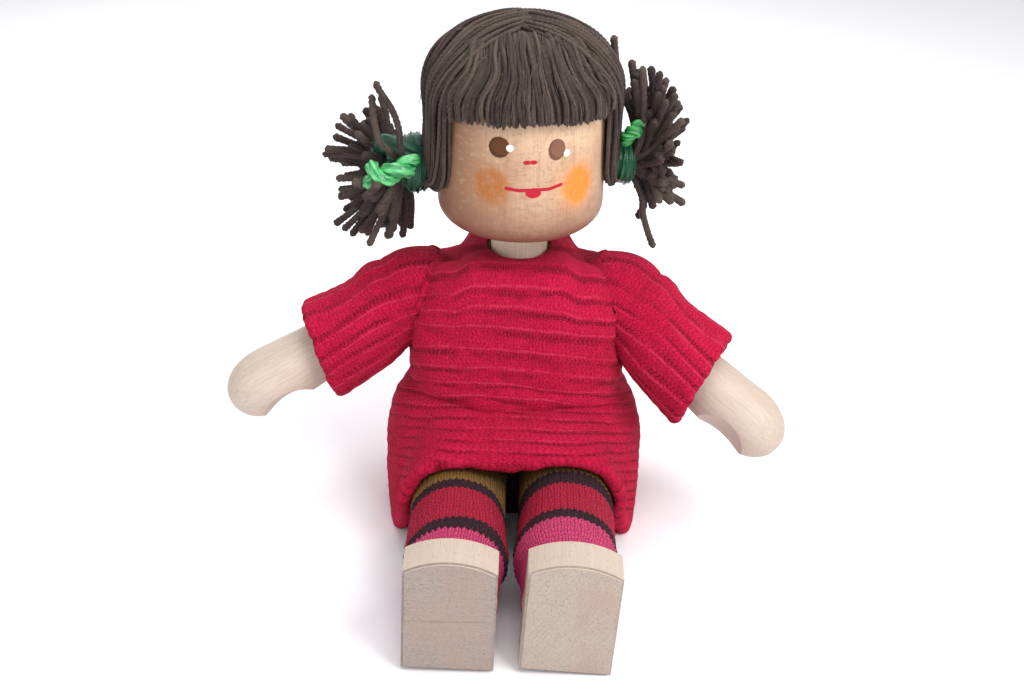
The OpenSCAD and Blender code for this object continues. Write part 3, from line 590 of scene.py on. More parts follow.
# fine knit whose columns run down the leg; u is round the leg and v along it from the hip, in millimetres
def tightsMaterial(name, edges=None):
    material, tree, shader = newMaterial(name, **{
        "Roughness": 0.92, "Sheen Weight": 0.04, "Sheen Roughness": 0.5, "Specular IOR Level": 0.12})
    u, v, _ = clothUv(tree)
    p = turnedMm(tree)
    stitch = useGroup(tree, stitchGroup, {"Across": u, "Along": v, "Column": tightsCloth["column"],
                                          "Row": 1.5, "Vector": p, "Fuzz": 1.1, "Edges": 1.0, "Loops": 0.6})
    colour = tightsCloth["mustard"]
    if edges:
        jag = calc("ABSOLUTE", calc("FRACT", u / tightsCloth["column"]) - 0.5)
        at = v + scaled(jag, 1.9, noise(p, 0.5, 3.0))
        for edge, tint in zip(edges, ("black", "red", "black", "pink")):
            colour = blendColour(ramp(at, edge + 0.4, edge + 0.75), colour, tightsCloth[tint])
    else:
        colour = blendColour(ramp(separate(p)[1], -12.0, -15.0), colour, tightsCloth["black"])
    lighter = blendColour(0.22, colour, (1, 0.3, 0.45))
    colour = blendColour(ramp(stitch["Fibre"], 0.46, 0.66) * 0.6, colour, lighter)
    # painted shade: the stitch pits are darkened
    pitShadeColour = blendColour(0.8, colour, (0.04, 0.0, 0.01))
    colour = blendColour(stitch["PitShade"] * 0.75, colour, pitShadeColour)
    plug(shader, "Base Color", colour)
    plug(shader, "Normal", bumpFrom(stitch["Height"], 0.0007, 1.0))
    return material


hairYarn = dict(base=(0.052, 0.037, 0.034), light=(0.165, 0.120, 0.102), dark=(0.010, 0.007, 0.009),
                twist=3.6)


# soft plied yarn; the whole part of u numbers the strand and v runs along it in millimetres
def yarnMaterial(name, lift=1.0):
    material, tree, shader = newMaterial(name, **{
        "Roughness": 0.85, "Sheen Weight": 0.08, "Sheen Roughness": 0.4, "Sheen Tint": (1.0, 0.85, 0.75, 1),
        "Specular IOR Level": 0.15})
    u, v, _ = clothUv(tree)
    strand = calc("FLOOR", u)
    pick = addNode(tree, "TexWhiteNoise", {"W": strand}, noise_dimensions="1D")
    spin = (calc("FRACT", u) - v / hairYarn["twist"]) * 6.2832
    around = combine(calc("COSINE", spin) * 3.0, calc("SINE", spin) * 3.0, scaled(v, 0.35, strand * 3.1))
    fibre = noise(around, 1.6, 4.0, 0.65)
    patch = noise(combine(strand, v * 0.12, 0.0), 1.0, 2.0)
    shades = {key: tuple(c * lift for c in hairYarn[key]) for key in ("base", "light", "dark")}
    share = scaled(pick, 0.75, scaled(patch, 0.8, -0.5), clamp=True)
    colour = blendColour(share, shades["base"], shades["light"])
    colour = layered(colour, (ramp(fibre, 0.52, 0.34) * 0.65, shades["dark"]),
                     (ramp(fibre, 0.52, 0.72) * 0.45, shades["light"]))
    plug(shader, "Base Color", colour)
    plug(shader, "Normal", bumpFrom(fibre, 0.00022, 0.9))
    return material


# shiny cord of fine parallel strands
def raffiaMaterial(name, colour, bright):
    material, tree, shader = newMaterial(name, **{"Coat Weight": 0.35, "Coat Roughness": 0.25})
    u, v, _ = clothUv(tree)
    lines = noise(combine(u * 9.0, v * 0.15, 0.0), 1.0, 3.0, 0.6)
    plug(shader, "Base Color", blendColour(ramp(lines, 0.35, 0.68), colour, bright))
    plug(shader, "Roughness", scaled(lines, 0.25, 0.25))
    plug(shader, "Normal", bumpFrom(lines, 0.0003, 0.8))
    return material


print("materials are defined")

studio = dict(lens=52.73, place=(0.0, -400.84, 262.18), aim=(0.0, -30.0, 65.0), roll=1.5, shift=-4.5 / 1024,
              world=0.62,
              lamps=[("keyLight", (330, -330, 500), 300, 2.9, (1.0, 0.98, 0.96)),
                     ("fillLight", (-430, -380, 300), 420, 0.45, (0.97, 0.98, 1.0)),
                     ("frontLight", (40, -560, 110), 260, 0.30, (1.0, 0.99, 0.97)),
                     ("topLight", (60, 60, 620), 420, 1.6, (1.0, 1.0, 1.0)),
                     ("backLight", (-120, 480, 360), 380, 1.0, (1.0, 1.0, 1.0))])


def makeStudio():
    camera = bpy.data.objects.new("camera", bpy.data.cameras.new("camera"))
    bpy.context.scene.collection.objects.link(camera)
    camera.data.lens, camera.data.sensor_width = studio["lens"], 36.0
    camera.data.shift_x = studio["shift"]
    place, aim = Vector(studio["place"]) * mm, Vector(studio["aim"]) * mm
    turn = (aim - place).to_track_quat("-Z", "Y").to_matrix().to_4x4()
    roll = Matrix.Rotation(math.radians(studio["roll"]), 4, "Z")
    camera.matrix_world = Matrix.Translation(place) @ turn @ roll
    camera.data.clip_start = 0.01
    bpy.context.scene.camera = camera
    bpy.context.scene.view_settings.view_transform = "Standard"  # plain colours, as in a product photograph
    for name, place, size, power, colour in studio["lamps"]:
        lamp = bpy.data.lights.new(name, "AREA")
        lamp.size, lamp.energy, lamp.color = size * mm, power, colour
        light = bpy.data.objects.new(name, lamp)
        light.location = Vector(place) * mm
        toDoll = Vector((0, -20, 70)) * mm - light.location
        light.rotation_euler = toDoll.to_track_quat("-Z", "Y").to_euler()
        bpy.context.scene.collection.objects.link(light)
    world = bpy.data.worlds.new("studio")
    world.use_nodes = True
    world.node_tree.nodes["Background"].inputs[0].default_value = (1, 1, 1, 1)
    world.node_tree.nodes["Background"].inputs[1].default_value = studio["world"]
    bpy.context.scene.world = world
    material, tree, shader = newMaterial("floorPaper", Roughness=0.9)
    tone = noise(addNode(tree, "TexCoord", output="Object"), 3.0)
    plug(shader, "Base Color", blendColour(tone, (0.90, 0.90, 0.90), (0.93, 0.93, 1.0)))
    reach, low = 3000, -0.05
    corners = np.array([[(x, y, low) for x in (-reach, reach)] for y in (-reach, reach)], float)
    gridPiece("floor", corners, material, closed=False)


makeStudio()
print("camera, lights and floor are placed")

hair = dict(r=28.3, topH=60.8, templeH=39.6, edgeH=9.45, lowShare=0.94, power=2.3, strandR=0.64, ply=0.4,
            frontAngle=dict(left=54.0, right=57.0), fringeLow=37.6, perSide=76, fringeCount=64)
headTurn = np.array(Matrix.Rotation(math.radians(doll["headYaw"]), 3, "Z"))


# from millimetres on the unturned head, z from the chin, to the frame
def toHead(points):
    return np.asarray(points) @ headTurn.T + [0, 0, doll["headZ"]]


# moves points onto the hair's round outer form, then in by depth
def onHair(points, depth):
    p = np.array(points, float)
    depth = np.broadcast_to(depth, len(p))
    rho = np.hypot(p[:, 0], p[:, 1])
    tall = hair["topH"] - hair["templeH"]
    up = np.maximum(p[:, 2] - hair["templeH"], 0)
    f = ((rho / hair["r"]) ** hair["power"] + (up / tall) ** hair["power"]) ** (1 / hair["power"])
    middle = np.array([0, 0, hair["templeH"]])
    dome = (p - middle) / np.maximum(f, 1e-6)[:, None]
    dome = dome * (1 - depth / np.linalg.norm(dome, axis=1))[:, None] + middle
    climb = (p[:, 2] - hair["edgeH"]) / (hair["templeH"] - hair["edgeH"])
    r = hair["r"] * mix(hair["lowShare"], 1, climb) - depth
    side = xyz(p[:, 0] * r / np.maximum(rho, 1e-6), p[:, 1] * r / np.maximum(rho, 1e-6), p[:, 2])
    return np.where((p[:, 2] > hair["templeH"])[:, None], dome, side)


def onSide(azimuth, h, sign):
    a = math.radians(azimuth)
    return (sign * hair["r"] * math.sin(a), -hair["r"] * math.cos(a), h)


# a point on the parting, from the fringe's seam over the crown to the nape
def partPoint(u, sign):
    if u < 0.62:
        a = math.radians(mix(69, 180, u / 0.62))
        return (-sign * 1.6, -25 * math.cos(a), hair["templeH"] + 21 * math.sin(a))
    return (-sign * 1.6, 27.0, mix(hair["templeH"], 10.5, (u - 0.62) / 0.38))


# where a strand passes on its way to the tie: angle from the front and height, by place on the parting
strandKeys = [0.0, 0.12, 0.3, 0.5, 0.75, 1.0]
strandVias = [([36, 62, 84, 122, 158, 162], [55.5, 56.5, 56, 48, 24, 9.5]),
              ([0, 74, 82, 104, 128, 134], [38, 39, 42, 36, 21, 10.5]),
              ([9, 80, 84, 92, 106, 108], [16.5, 19, 28, 28, 19, 12])]


# a slight wander, so that neighbouring strands cross a little
def wander(path, amount):
    far = np.linspace(0, 1, len(path))[:, None]
    way = rng.normal(0, amount, (2, 3))
    slow = way[0] * np.sin(far * 5 + rng.uniform(0, 6))
    quick = way[1] * np.sin(far * 13 + rng.uniform(0, 6))
    return path + slow + quick * 0.5


def capPaths(side):
    sign = signs[side]
    front = hair["frontAngle"][side]
    paths = []
    for layer, count, depth in ((0, hair["perSide"], 0.8), (1, hair["perSide"] - 12, 2.1)):
        for n in range(count):
            u = min(1, max(0, (n + 0.5 + rng.uniform(-0.3, 0.3)) / count))
            points = [partPoint(u, sign)]
            for angles, heights in strandVias:
                angle = np.interp(u, strandKeys, angles)
                angle += front * max(0, 1 - u / 0.12) if angles[0] < 10 else 0
                points.append(onSide(angle + rng.uniform(-1.4, 1.4), np.interp(u, strandKeys, heights), sign))
            low = mix(13.5, 21, u * 2.2) if u < 0.5 else mix(21, 17, u * 2 - 1)
            points.append(onSide(mix(84, 96, u), low, sign))
            path = wander(spline(points, 70), 0.32)
            far = np.linspace(0, 1, 70)
            wave = depth + 0.35 * np.sin(far * 9 + rng.uniform(0, 6)) + rng.uniform(-0.3, 0.7)
            path = onHair(path, wave - 0.8 * smooth((far - 0.8) / 0.2))
            out = path[-1] + np.array([[sign * 1.2, 0, 0.4], [sign * 2.4, 0, 0.8]]) * (1 - 0.3 * layer)
            paths.append(toHead(np.vstack([path, out])))
    return paths


def fringePaths():
    paths = []
    for layer, count, depth in ((0, hair["fringeCount"], 0.75), (1, hair["fringeCount"] - 6, 2.1)):
        for n in range(count):
            t = -1 + 2 * (n + 0.5 + rng.uniform(-0.3, 0.3)) / count
            spread = t * (58 if t > 0 else 57)
            x0 = 15.5 * np.sign(t) * abs(t) ** 1.1
            y0 = -8.2 - 1.2 * abs(t) ** 3
            top = np.array([x0 - 1.2, y0 + 0.6 * layer, 60])
            low = hair["fringeLow"] + rng.uniform(-0.5, 0.5) + 0.4 * math.sin(t * 7) + 0.7 * t
            low += 1.5 * math.exp(-((t + 0.15) / 0.45) ** 2)
            lean = 5.0 * (1 - abs(t)) * (0.4 + t)
            middle = onSide(spread * 0.86 - lean, 51, 1)
            points = [top, (middle[0] * 0.92, middle[1] * 0.92, 53.5)]
            points += [onSide(spread - lean * 0.3, 44.5, 1), onSide(spread, low, 1)]
            path = wander(spline(points, 60), 0.3)
            far = np.linspace(0, 1, 60)
            deep = depth + 0.35 * np.sin(far * 7 + rng.uniform(0, 6)) + rng.uniform(-0.3, 0.7)
            deep = deep + 1.1 * (1 - smooth(far / 0.12))
            paths.append(toHead(onHair(path, deep)))
    return paths


# a yarn layer under the strands, so that no wood shows between them; it is a third as bright as the strands,
# as painted shade deep between them
def underCap():
    rows, cols = 40, 72
    t = roundSteps(cols)
    rings = []
    for s in np.linspace(0, 1, rows):
        if s < 0.5:
            a = math.radians(mix(89.0, 0, s / 0.5))
            p = ringAt(t, 22 * math.cos(a), hair["templeH"] + 20 * math.sin(a))
        else:
            p = ringAt(t, 25, mix(hair["templeH"] - 0.01, 12.2, (s - 0.5) / 0.5))
        rings.append(onHair(p, 2.9))
    points = np.array(rings)
    angle = np.degrees(np.arctan2(np.abs(points[..., 0]), -points[..., 1]))
    onFace = (angle < np.where(points[..., 0] < 0, 62, 65)) & (points[..., 2] < hair["fringeLow"] + 2.5)
    onFace |= (angle < 90) & (points[..., 2] < 17)
    u, v = np.linspace(0, 60, cols + 1), np.linspace(0, 60, rows)[:, None]
    shape = toHead(points.reshape(-1, 3)).reshape(points.shape)
    return gridPiece("hairCapShade", shape, yarnMaterial("hairCapShadeYarn", 0.35), u, v, thickness=0.8, keep=~onFace)


# tips of the pigtail strands, in bundles that lie side by side, in millimetres of the frame
pigtails = dict(
    left=dict(root=(-31.2, 0.0, 106.5), bundles=[
        [(-43.0, 6, 121.5), (-45.5, 9, 119.0), (-41.0, 10, 123.0), (-46.5, -6, 117.0)],
        [(-51.5, 2, 119.7), (-48.1, -3, 120.4), (-49.5, 5, 119.0), (-52.5, -1, 117.2)],
        [(-56.0, -1, 110.0), (-57.0, 3, 106.7), (-54.5, 4, 112.5), (-52.9, -4, 102.5), (-55.0, 7, 105.0)],
        [(-50.9, 2, 100.2), (-51.0, -3, 97.1), (-53.0, 5, 95.0), (-54.5, 0, 89.2), (-52.0, 6, 91.0),
         (-51.8, 3, 85.6)],
        [(-49.2, -2, 84.2), (-46.2, 3, 84.4), (-43.1, -4, 83.5), (-47.5, 6, 86.5), (-41.0, 4, 84.0),
         (-44.8, 0, 83.8), (-38.6, -1, 83.8), (-36.5, 4, 84.4), (-34.3, -3, 84.2), (-40.3, 7, 87.0),
         (-32.5, 3, 85.5), (-37.5, -5, 86.8)],
        [(-44.0, 11, 114.0), (-47.5, 12, 106.5), (-45.5, 12, 97.5), (-40.0, 12, 90.5), (-41.5, -9, 97.0),
         (-45.0, -8, 92.0)]],
        long=[[(-31.5, -5, 107.5), (-33.4, -9, 112.6), (-34.0, -8.5, 118.9), (-36.0, -6, 123.6),
               (-39.6, -4, 128.4), (-40.8, -3, 130.7)],
              [(-33.0, -5, 108.0), (-38.5, -8.5, 113.9), (-40.4, -6, 117.1), (-41.6, -3, 121.5),
               (-42.0, -1, 126.2)]]),
    right=dict(root=(30.6, 3.0, 107.0), bundles=[
        [(30.2, 2, 138.6), (32.2, -1, 137.3), (33.4, 4, 135.9), (31.3, 5, 135.0), (35.0, 2, 134.8)],
        [(37.1, -1, 133.7), (40.2, 3, 132.6), (38.5, 5, 131.0), (36.3, 1, 131.5), (39.2, -3, 127.7),
         (41.6, 2, 128.8)],
        [(43.3, 2, 128.7), (46.4, -1, 121.5), (44.6, 4, 123.5), (45.6, 2, 117.8), (44.3, -3, 115.5)],
        [(42.0, -1, 111.9), (44.3, 4, 107.1), (43.6, 2, 110.5), (45.2, 0, 102.8), (45.5, 5, 105.0),
         (43.0, -4, 106.0)],
        [(41.9, 5, 98.2), (48.0, -2, 96.8), (44.5, 1, 99.8), (46.8, 3, 99.0), (43.5, -3, 96.5),
         (38.2, 1, 92.7), (40.5, 4, 94.5)],
        [(42.0, 12, 118.0), (44.0, 12, 108.0), (38.5, 12, 125.5), (40.5, 12, 98.5), (36.0, 9, 91.5),
         (34.5, -2, 92.0)],
        [(31.5, 1, 128.0), (34.0, -1, 124.0), (36.5, 4, 121.0), (33.0, 6, 131.0), (38.5, -2, 117.5),
         (40.5, 1, 114.0)],
        [(44.5, -9, 111.0), (41.0, -10, 118.5), (43.0, -8, 103.0), (38.5, -9, 99.0)]],
        long=[[(30.8, 2, 105.5), (34.5, -1, 98.5), (35.5, -2, 92.5), (37.2, -2, 87.0), (39.1, -3, 82.6)],
              [(27.5, 6, 108.0), (27.0, 8, 122.0), (26.0, 8, 133.0), (24.8, 8, 142.1)]]))
pigtailYarn = dict(radius=1.12, crowd=13, near=(-17.0, -9.0), far=(12.0, 6.0))


def pigtailPaths(side):
    sign = signs[side]
    values = pigtails[side]
    root = np.array(values["root"])
    paths = []
    for bundle in values["bundles"]:
        tips = [np.array(tip, float) for tip in bundle]
        centre = np.mean(tips, axis=0)
        for _ in range(pigtailYarn["crowd"]):  # shorter strands between the ones that stand out
            tip = mix(centre, tips[rng.integers(len(bundle))], rng.uniform(0.2, 0.9))
            tips.append(root + (tip - root) * rng.uniform(0.66, 0.92) + rng.normal(0, 1.1, 3))
        for number, tip in enumerate(tips):  # the tuft is round, so it spreads in depth too
            kind = 0 if number >= len(bundle) else 1
            apart = -sign * rng.uniform(pigtailYarn["near"][kind], pigtailYarn["far"][kind])
            if side == "left" and centre[2] > 103:  # behind the cord's loop
                apart = abs(apart) * 0.8
            tip += [0, apart, -0.53 * apart]
        bow = np.array([sign * 2.6, 0, 0]) + rng.normal(0, 0.7, 3)
        wave = rng.normal(0, 0.8, 3)
        for tip in tips:
            if side == "left" and tip[2] < 92:
                tip[2] -= 2.6
            tip[2] = max(tip[2], 82.2)
            start = root + [0, rng.uniform(-2.6, 2.6), rng.uniform(-2.6, 2.6)]
            reach = tip - start
            points = [start - [sign * 5.0, 0, 0], start, start + reach * 0.3 + bow + rng.normal(0, 0.35, 3),
                      start + reach * 0.66 + bow * 0.45 + wave + rng.normal(0, 0.45, 3), tip]
            paths.append(spline(points, 50))
    return paths + [spline(np.array(points, float), 60) for points in values["long"]]


# the loose fibres are 1.7 times lighter than the strands: painted highlight where the fuzz catches the light
looseFibre = dict(count=520, sides=3, step=1.0, endRound=0.05, shade=1.7)


# short loose fibres that stand a little off the strands
def fuzzPaths(paths, lift, length):
    fuzz = []
    for _ in range(looseFibre["count"]):
        path = paths[rng.integers(len(paths))]
        gap = gaps(path).mean()
        reach = max(4, int(rng.uniform(0.5, 1) * length / gap))
        first = rng.integers(2, max(3, len(path) - reach - 3))
        bit = path[first:first + reach]
        far = np.linspace(0, 1, len(bit))[:, None]
        away = rng.normal(0, 1, 3)
        away *= lift / np.linalg.norm(away)
        lifted = away * np.sin(far * np.pi * rng.uniform(0.6, 1)) ** 0.7
        fuzz.append(bit + lifted + rng.normal(0, 0.5, 3) * far ** 2)
    return fuzz


def makeHair():
    yarn = yarnMaterial("hairYarn")
    loose = yarnMaterial("looseFibre", looseFibre["shade"])
    pieces = {}

    def addFuzz(name, paths, lift, length, radius):
        fuzz = fuzzPaths(paths, lift, length)
        pieces[name] = strandPiece(name, fuzz, loose, radius, sides=looseFibre["sides"],
                                   step=looseFibre["step"], depth=0.0, endRound=looseFibre["endRound"])

    laid = {side + "Hair": capPaths(side) for side in ("left", "right")}
    laid["fringeHair"] = fringePaths()
    for name, paths in laid.items():
        pieces[name] = strandPiece(name, paths, yarn, hair["strandR"], depth=hair["ply"])
        addFuzz(name + "Fuzz", paths, 1.0, 8.0, 0.13)
    pieces["hairCapShade"] = underCap()
    tuft = yarnMaterial("tuftYarn", 0.9)
    for side in ("left", "right"):
        paths = pigtailPaths(side)
        pieces[side + "Pigtail"] = strandPiece(side + "Pigtail", paths, tuft, pigtailYarn["radius"],
                                               pitch=4.6, sides=12, depth=0.24, endRound=0.2, flare=0.1)
        addFuzz(side + "PigtailFuzz", paths, 1.5, 6.0, 0.12)
    for piece in pieces.values():
        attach(piece, "head")
    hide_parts("hair_cap")
    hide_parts("fringe")
    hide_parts("left_pigtail")
    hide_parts("right_pigtail")
    print("hair strands are laid")


makeHair()

# flat shiny cord wound round each pigtail, with a twisted free end
ties = dict(
    left=dict(centre=(-30.2, 0.5, 105.8), r=8.0, width=6.6, turns=2.6, colour=(0.004, 0.050, 0.030),
              bright=(0.012, 0.15, 0.07),
              cord=(0.009, 0.20, 0.06), cordBright=(0.15, 0.70, 0.24), cordR=2.0,
              loop=[(-26.8, -4.0, 108.0), (-30.0, -6.2, 109.3), (-34.0, -6.4, 110.4), (-37.4, -5.2, 111.0),
                    (-37.8, -3.0, 110.6), (-33.0, -1.5, 109.4), (-28.5, -1.5, 108.5)],
              end=[(-29.8, -7.5, 109.5), (-32.5, -11.6, 108.6), (-36.5, -13.5, 107.4),
                   (-40.0, -13.4, 106.9), (-42.6, -13.0, 107.3)]),
    right=dict(centre=(29.6, 3.5, 107.0), r=6.6, width=5.2, turns=2.15, colour=(0.004, 0.060, 0.028),
               bright=(0.014, 0.17, 0.07),
               cord=(0.008, 0.19, 0.05), cordBright=(0.11, 0.58, 0.15), cordR=1.3, loop=None,
               end=[(28.6, -3.0, 115.0), (30.0, -4.6, 117.8), (31.8, -4.8, 119.6), (33.2, -4.2, 119.2)]))


def tieBand(side):
    values = ties[side]
    rows, cols = 170, 22
    a = np.linspace(0, values["turns"] * 2 * np.pi, rows)
    w = np.linspace(-0.5, 0.5, cols)
    out = []
    for k, angle in enumerate(a):
        lift = 0.5 * k / rows + 0.3 * math.sin(angle * 3.1)
        centreX = values["centre"][0] + 0.7 * math.sin(angle * 1.3)
        crease = 0.35 * np.cos(w * 2 * np.pi * 3 + angle * 0.7) + 0.25 * np.cos(w * 2 * np.pi * 7 - angle)
        width = values["width"] * (0.85 + 0.15 * math.sin(angle * 1.7))
        r = values["r"] + lift + crease - 1.2 * (2 * w) ** 2
        _, y, z = values["centre"]
        out.append(xyz(centreX + w * width, y + r * np.sin(angle), z + r * np.cos(angle)))
    points = np.array(out)
    u, v = w * values["width"], (a * values["r"])[:, None]
    material = raffiaMaterial(side + "TieBand", values["colour"], values["bright"])
    return gridPiece(side + "TieBand", points, material, u, v, closed=False, thickness=0.35)


# two shiny strands turning round each other and fanning out at the tip
def tieEnd(side):
    values = ties[side]
    path = spline(values["end"], 60)
    far = np.linspace(0, 1, 60)
    tangent = unit(np.gradient(path, axis=0))
    one = unit(np.cross(tangent, [0, 0, 1.0]))
    two = np.cross(tangent, one)
    paths = []
    for start in (0, np.pi):
        turn = start + far * 2 * np.pi * 1.35
        off = 0.7 * values["cordR"] * (1 + 0.7 * smooth((far - 0.7) / 0.3))
        paths.append(path + off[:, None] * (np.cos(turn)[:, None] * one + np.sin(turn)[:, None] * two))
    material = raffiaMaterial(side + "TieCord", values["cord"], values["cordBright"])
    return strandPiece(side + "TieEnd", paths, material, values["cordR"], plies=5, pitch=16.0, sides=20,
                       step=0.4, depth=0.22, endRound=1.2, flare=0.12)


# a wide flat loop of the same cord that stands out above the band
def tieLoop(side):
    values = ties[side]
    path = spline(values["loop"], 90)
    wide = unit(np.cross(unit(np.gradient(path, axis=0)), [0, 1.0, 0]))
    w = np.linspace(-0.5, 0.5, 20)
    puff = 8.6 * (0.82 + 0.18 * np.sin(np.linspace(-0.6, 3.6, 90)))
    crease = 0.35 * np.cos(w[None, :] * 22 + np.linspace(0, 5, 90)[:, None]) - 1.6 * (2 * w[None, :]) ** 2
    flat = (puff[:, None] * w[None, :])[..., None] * wide[:, None, :]
    points = path[:, None, :] + flat - crease[..., None] * [0, 1, 0]
    u, v = w * 8.6, np.linspace(0, 30, 90)[:, None]
    material = raffiaMaterial(side + "TieLoop", values["colour"], values["bright"])
    return gridPiece(side + "TieLoop", points, material, u, v, closed=False, thickness=0.35)


for side in ("left", "right"):
    band, end = tieBand(side), tieEnd(side)
    for piece in [band, end] + ([tieLoop(side)] if ties[side]["loop"] else []):
        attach(piece, "head")
    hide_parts(side + "_hair_tie")
print("hair ties are wound")

# rows go down from the collar: height, half width, front and back depth as shares, and squareness
dress = dict(w=62.0, d=44.0, collarZ=81.4, skirtW=73.0, hemFront=40.0, hemSkew=3.0, hemFrontZ=30.8,
             hemDip=2.0, hemBack=25.5, hemFloorZ=0.6, hemPower=4.0, blouse=4.2, puffR=15.0, sleeveR=13.1,
             flare=1.2, thick=1.3, lip=0.85,
             lines=[-6.0, 1.0, 7.5, 14.2, 20.7, 28.2, 34.5, 39.6, 43.7, 47.6, 51.0, 54.2, 57.4, 60.6, 63.8,
                    67.0, 70.2, 73.4, 76.6, 79.8, 83.0],
             rows=[(0.992, 0.30, 0.54, 0.46, 2.2), (1, 0.54, 0.69, 0.67, 2.2), (0.992, 0.71, 0.85, 0.84, 2.6),
                   (0.95, 0.83, 0.95, 0.95, 3), (0.86, 0.95, 0.99, 0.99, 3.4), (0.76, 1, 1.01, 0.99, 3.4),
                   (0.665, 1, 1.04, 1, 3), (0.58, 0.985, 1.08, 1.01, 2.7), (0.52, 0.975, 1.15, 1.03, 2.5),
                   (0.475, 1, 1.13, 1.05, 2.4)])


def superOval(t, a, b, power):
    return (np.abs(np.cos(t) / a) ** power + np.abs(np.sin(t) / b) ** power) ** (-1 / power)


# the hem runs over both legs in front and along the floor at the sides and back
def hemRing(t):
    column = np.abs(np.degrees(t) - 270) / 10
    column = np.minimum(column, 36 - column)
    side = np.where(np.cos(t) < 0, -1, 1)
    deep = np.where(np.sin(t) < 0, dress["hemFront"], dress["hemBack"])
    r = superOval(t, dress["skirtW"] / 2, deep, dress["hemPower"])
    onFloor = ringAt(t, r, dress["hemFloorZ"])
    near = np.minimum(column, 4)
    a = np.radians(42 * np.maximum(0, near - 2))
    out = np.minimum(1, near / 2)
    arch = dress["hemFrontZ"] - doll["hipZ"]
    skew = dress["hemSkew"] * side * np.sin(np.radians(near * 10))
    over = xyz(side * (doll["legX"] * out + arch * np.sin(a)),
               (skew - dress["hemFront"]) * (1 - 0.06 * (near / 4) ** 2),
               doll["hipZ"] + arch * np.cos(a) - dress["hemDip"] * (1 - out) ** 2)
    return mix(over, onFloor, np.clip(column - 4, 0, 1)[:, None])


def dressRings(t):
    rings = []
    for z, wide, front, back, power in dress["rows"]:
        r = superOval(t, wide * dress["w"] / 2, np.where(np.sin(t) < 0, front, back) * dress["d"] / 2, power)
        rings.append(ringAt(t, r, z * dress["collarZ"]))
    hem = hemRing(t)
    out = ringAt(t, 1, 0)
    waist = rings[-1]
    for k in range(1, 7):
        s = k / 6
        puff = dress["blouse"] * math.sin(math.pi * s ** (math.log(0.5) / math.log(0.4)))
        rings.append(mix(waist, hem, s) + puff * np.where(np.sin(t) > 0, 0.5, 1)[:, None] * out)
    return np.array(rings)


# smooth columns through the rings, evenly spaced, and each point's distance from the collar
def alongRings(rings, rows, short):
    p = np.concatenate([2 * rings[:1] - rings[1:2], rings, 2 * rings[-1:] - rings[-2:-1]])
    steps = np.linspace(0, 1, 10, endpoint=False)
    fine = [between(*p[n:n + 4], t) for n in range(len(rings) - 1) for t in steps]
    fine = np.array(fine + [rings[-1]])
    s = np.concatenate([np.zeros((1, fine.shape[1])), np.cumsum(gaps(fine), axis=0)])
    points, along = [], []
    for i in range(fine.shape[1]):
        at = np.linspace(0, s[-1, i] - short, rows)
        points.append(xyz(*[np.interp(at, s[:, i], fine[:, i, k]) for k in range(3)]))
        along.append(at)
    return np.stack(points, 1), np.stack(along, 1)


def gridNormals(points):
    down = np.gradient(points, axis=0)
    across = np.roll(points, -1, axis=1) - np.roll(points, 1, axis=1)
    return unit(np.cross(down, across))


# adds rows that roll the last edge of a grid inwards, and the distance along for them
def rolledEdge(points, along, radius, normal):
    down = unit(points[-1] - points[-4])
    rows, more = [points], [along]
    for k in range(1, 9):
        a = math.radians(26 * k)
        rows.append((points[-1] + radius * ((math.cos(a) - 1) * normal[-1] + math.sin(a) * down))[None])
        more.append(along[-1:] + radius * a)
    return np.concatenate(rows), np.concatenate(more)


# soft random waves over space, about -1 to 1
def lumps(points, scale, seed):
    waves = np.random.default_rng(seed)
    total = np.zeros(points.shape[:-1])
    for _ in range(9):
        k = waves.normal(0, 1, 3)
        k *= (2 * np.pi / scale) / np.linalg.norm(k) * waves.uniform(0.6, 1.5)
        total += np.sin(points @ k + waves.uniform(0, 6.28))
    return total / 4.5


# creases on the front: from, to (across, height), depth and half width
creases = [((-31, 33), (-8, 36.0), 0.5, 1.3), ((-12, 37), (14, 34.5), 0.35, 1.2),
           ((8, 34.5), (33, 33), 0.6, 1.3), ((-33, 38.5), (-14, 41), 0.5, 1.2),
           ((14, 40), (34, 36.5), 0.6, 1.3), ((-4, 49), (24, 44.5), 0.6, 1.0),
           ((-10, 55.5), (10, 53), 0.35, 1.0), ((8, 53.5), (28, 50.0), 0.4, 1.0),
           ((-28, 46), (-6, 44.0), 0.4, 1.0),
           ((-13, 77.0), (0, 74.0), 0.6, 1.1), ((0, 74.0), (12, 77.0), 0.6, 1.1),
           ((-6, 43), (18, 40.0), 0.5, 0.9), ((-26, 42), (-4, 40.0), 0.4, 0.9),
           ((6, 45), (30, 42.0), 0.5, 1.0), ((-20, 29.5), (10, 30.5), 0.4, 1.2),
           ((-24, 62), (-12, 58.5), 0.4, 1.1), ((-2, 38), (26, 37.0), 0.4, 0.9)]


# the shoulder's centre, and unit vectors out along the arm, forward across it and up across it
def shoulderFrame(side):
    sign = signs[side]
    drop, swing = math.radians(doll[side + "Drop"]), math.radians(doll[side + "Swing"])
    turn = Matrix.Rotation(-swing, 3, "X") @ Matrix.Rotation(drop, 3, "Y")
    flip = np.array([sign, 1, 1])
    axes = [np.array(turn @ Vector(v)) * flip for v in ((1, 0, 0), (0, 1, 0), (0, 0, 1))]
    return np.array(doll["shoulder"]) * flip, axes


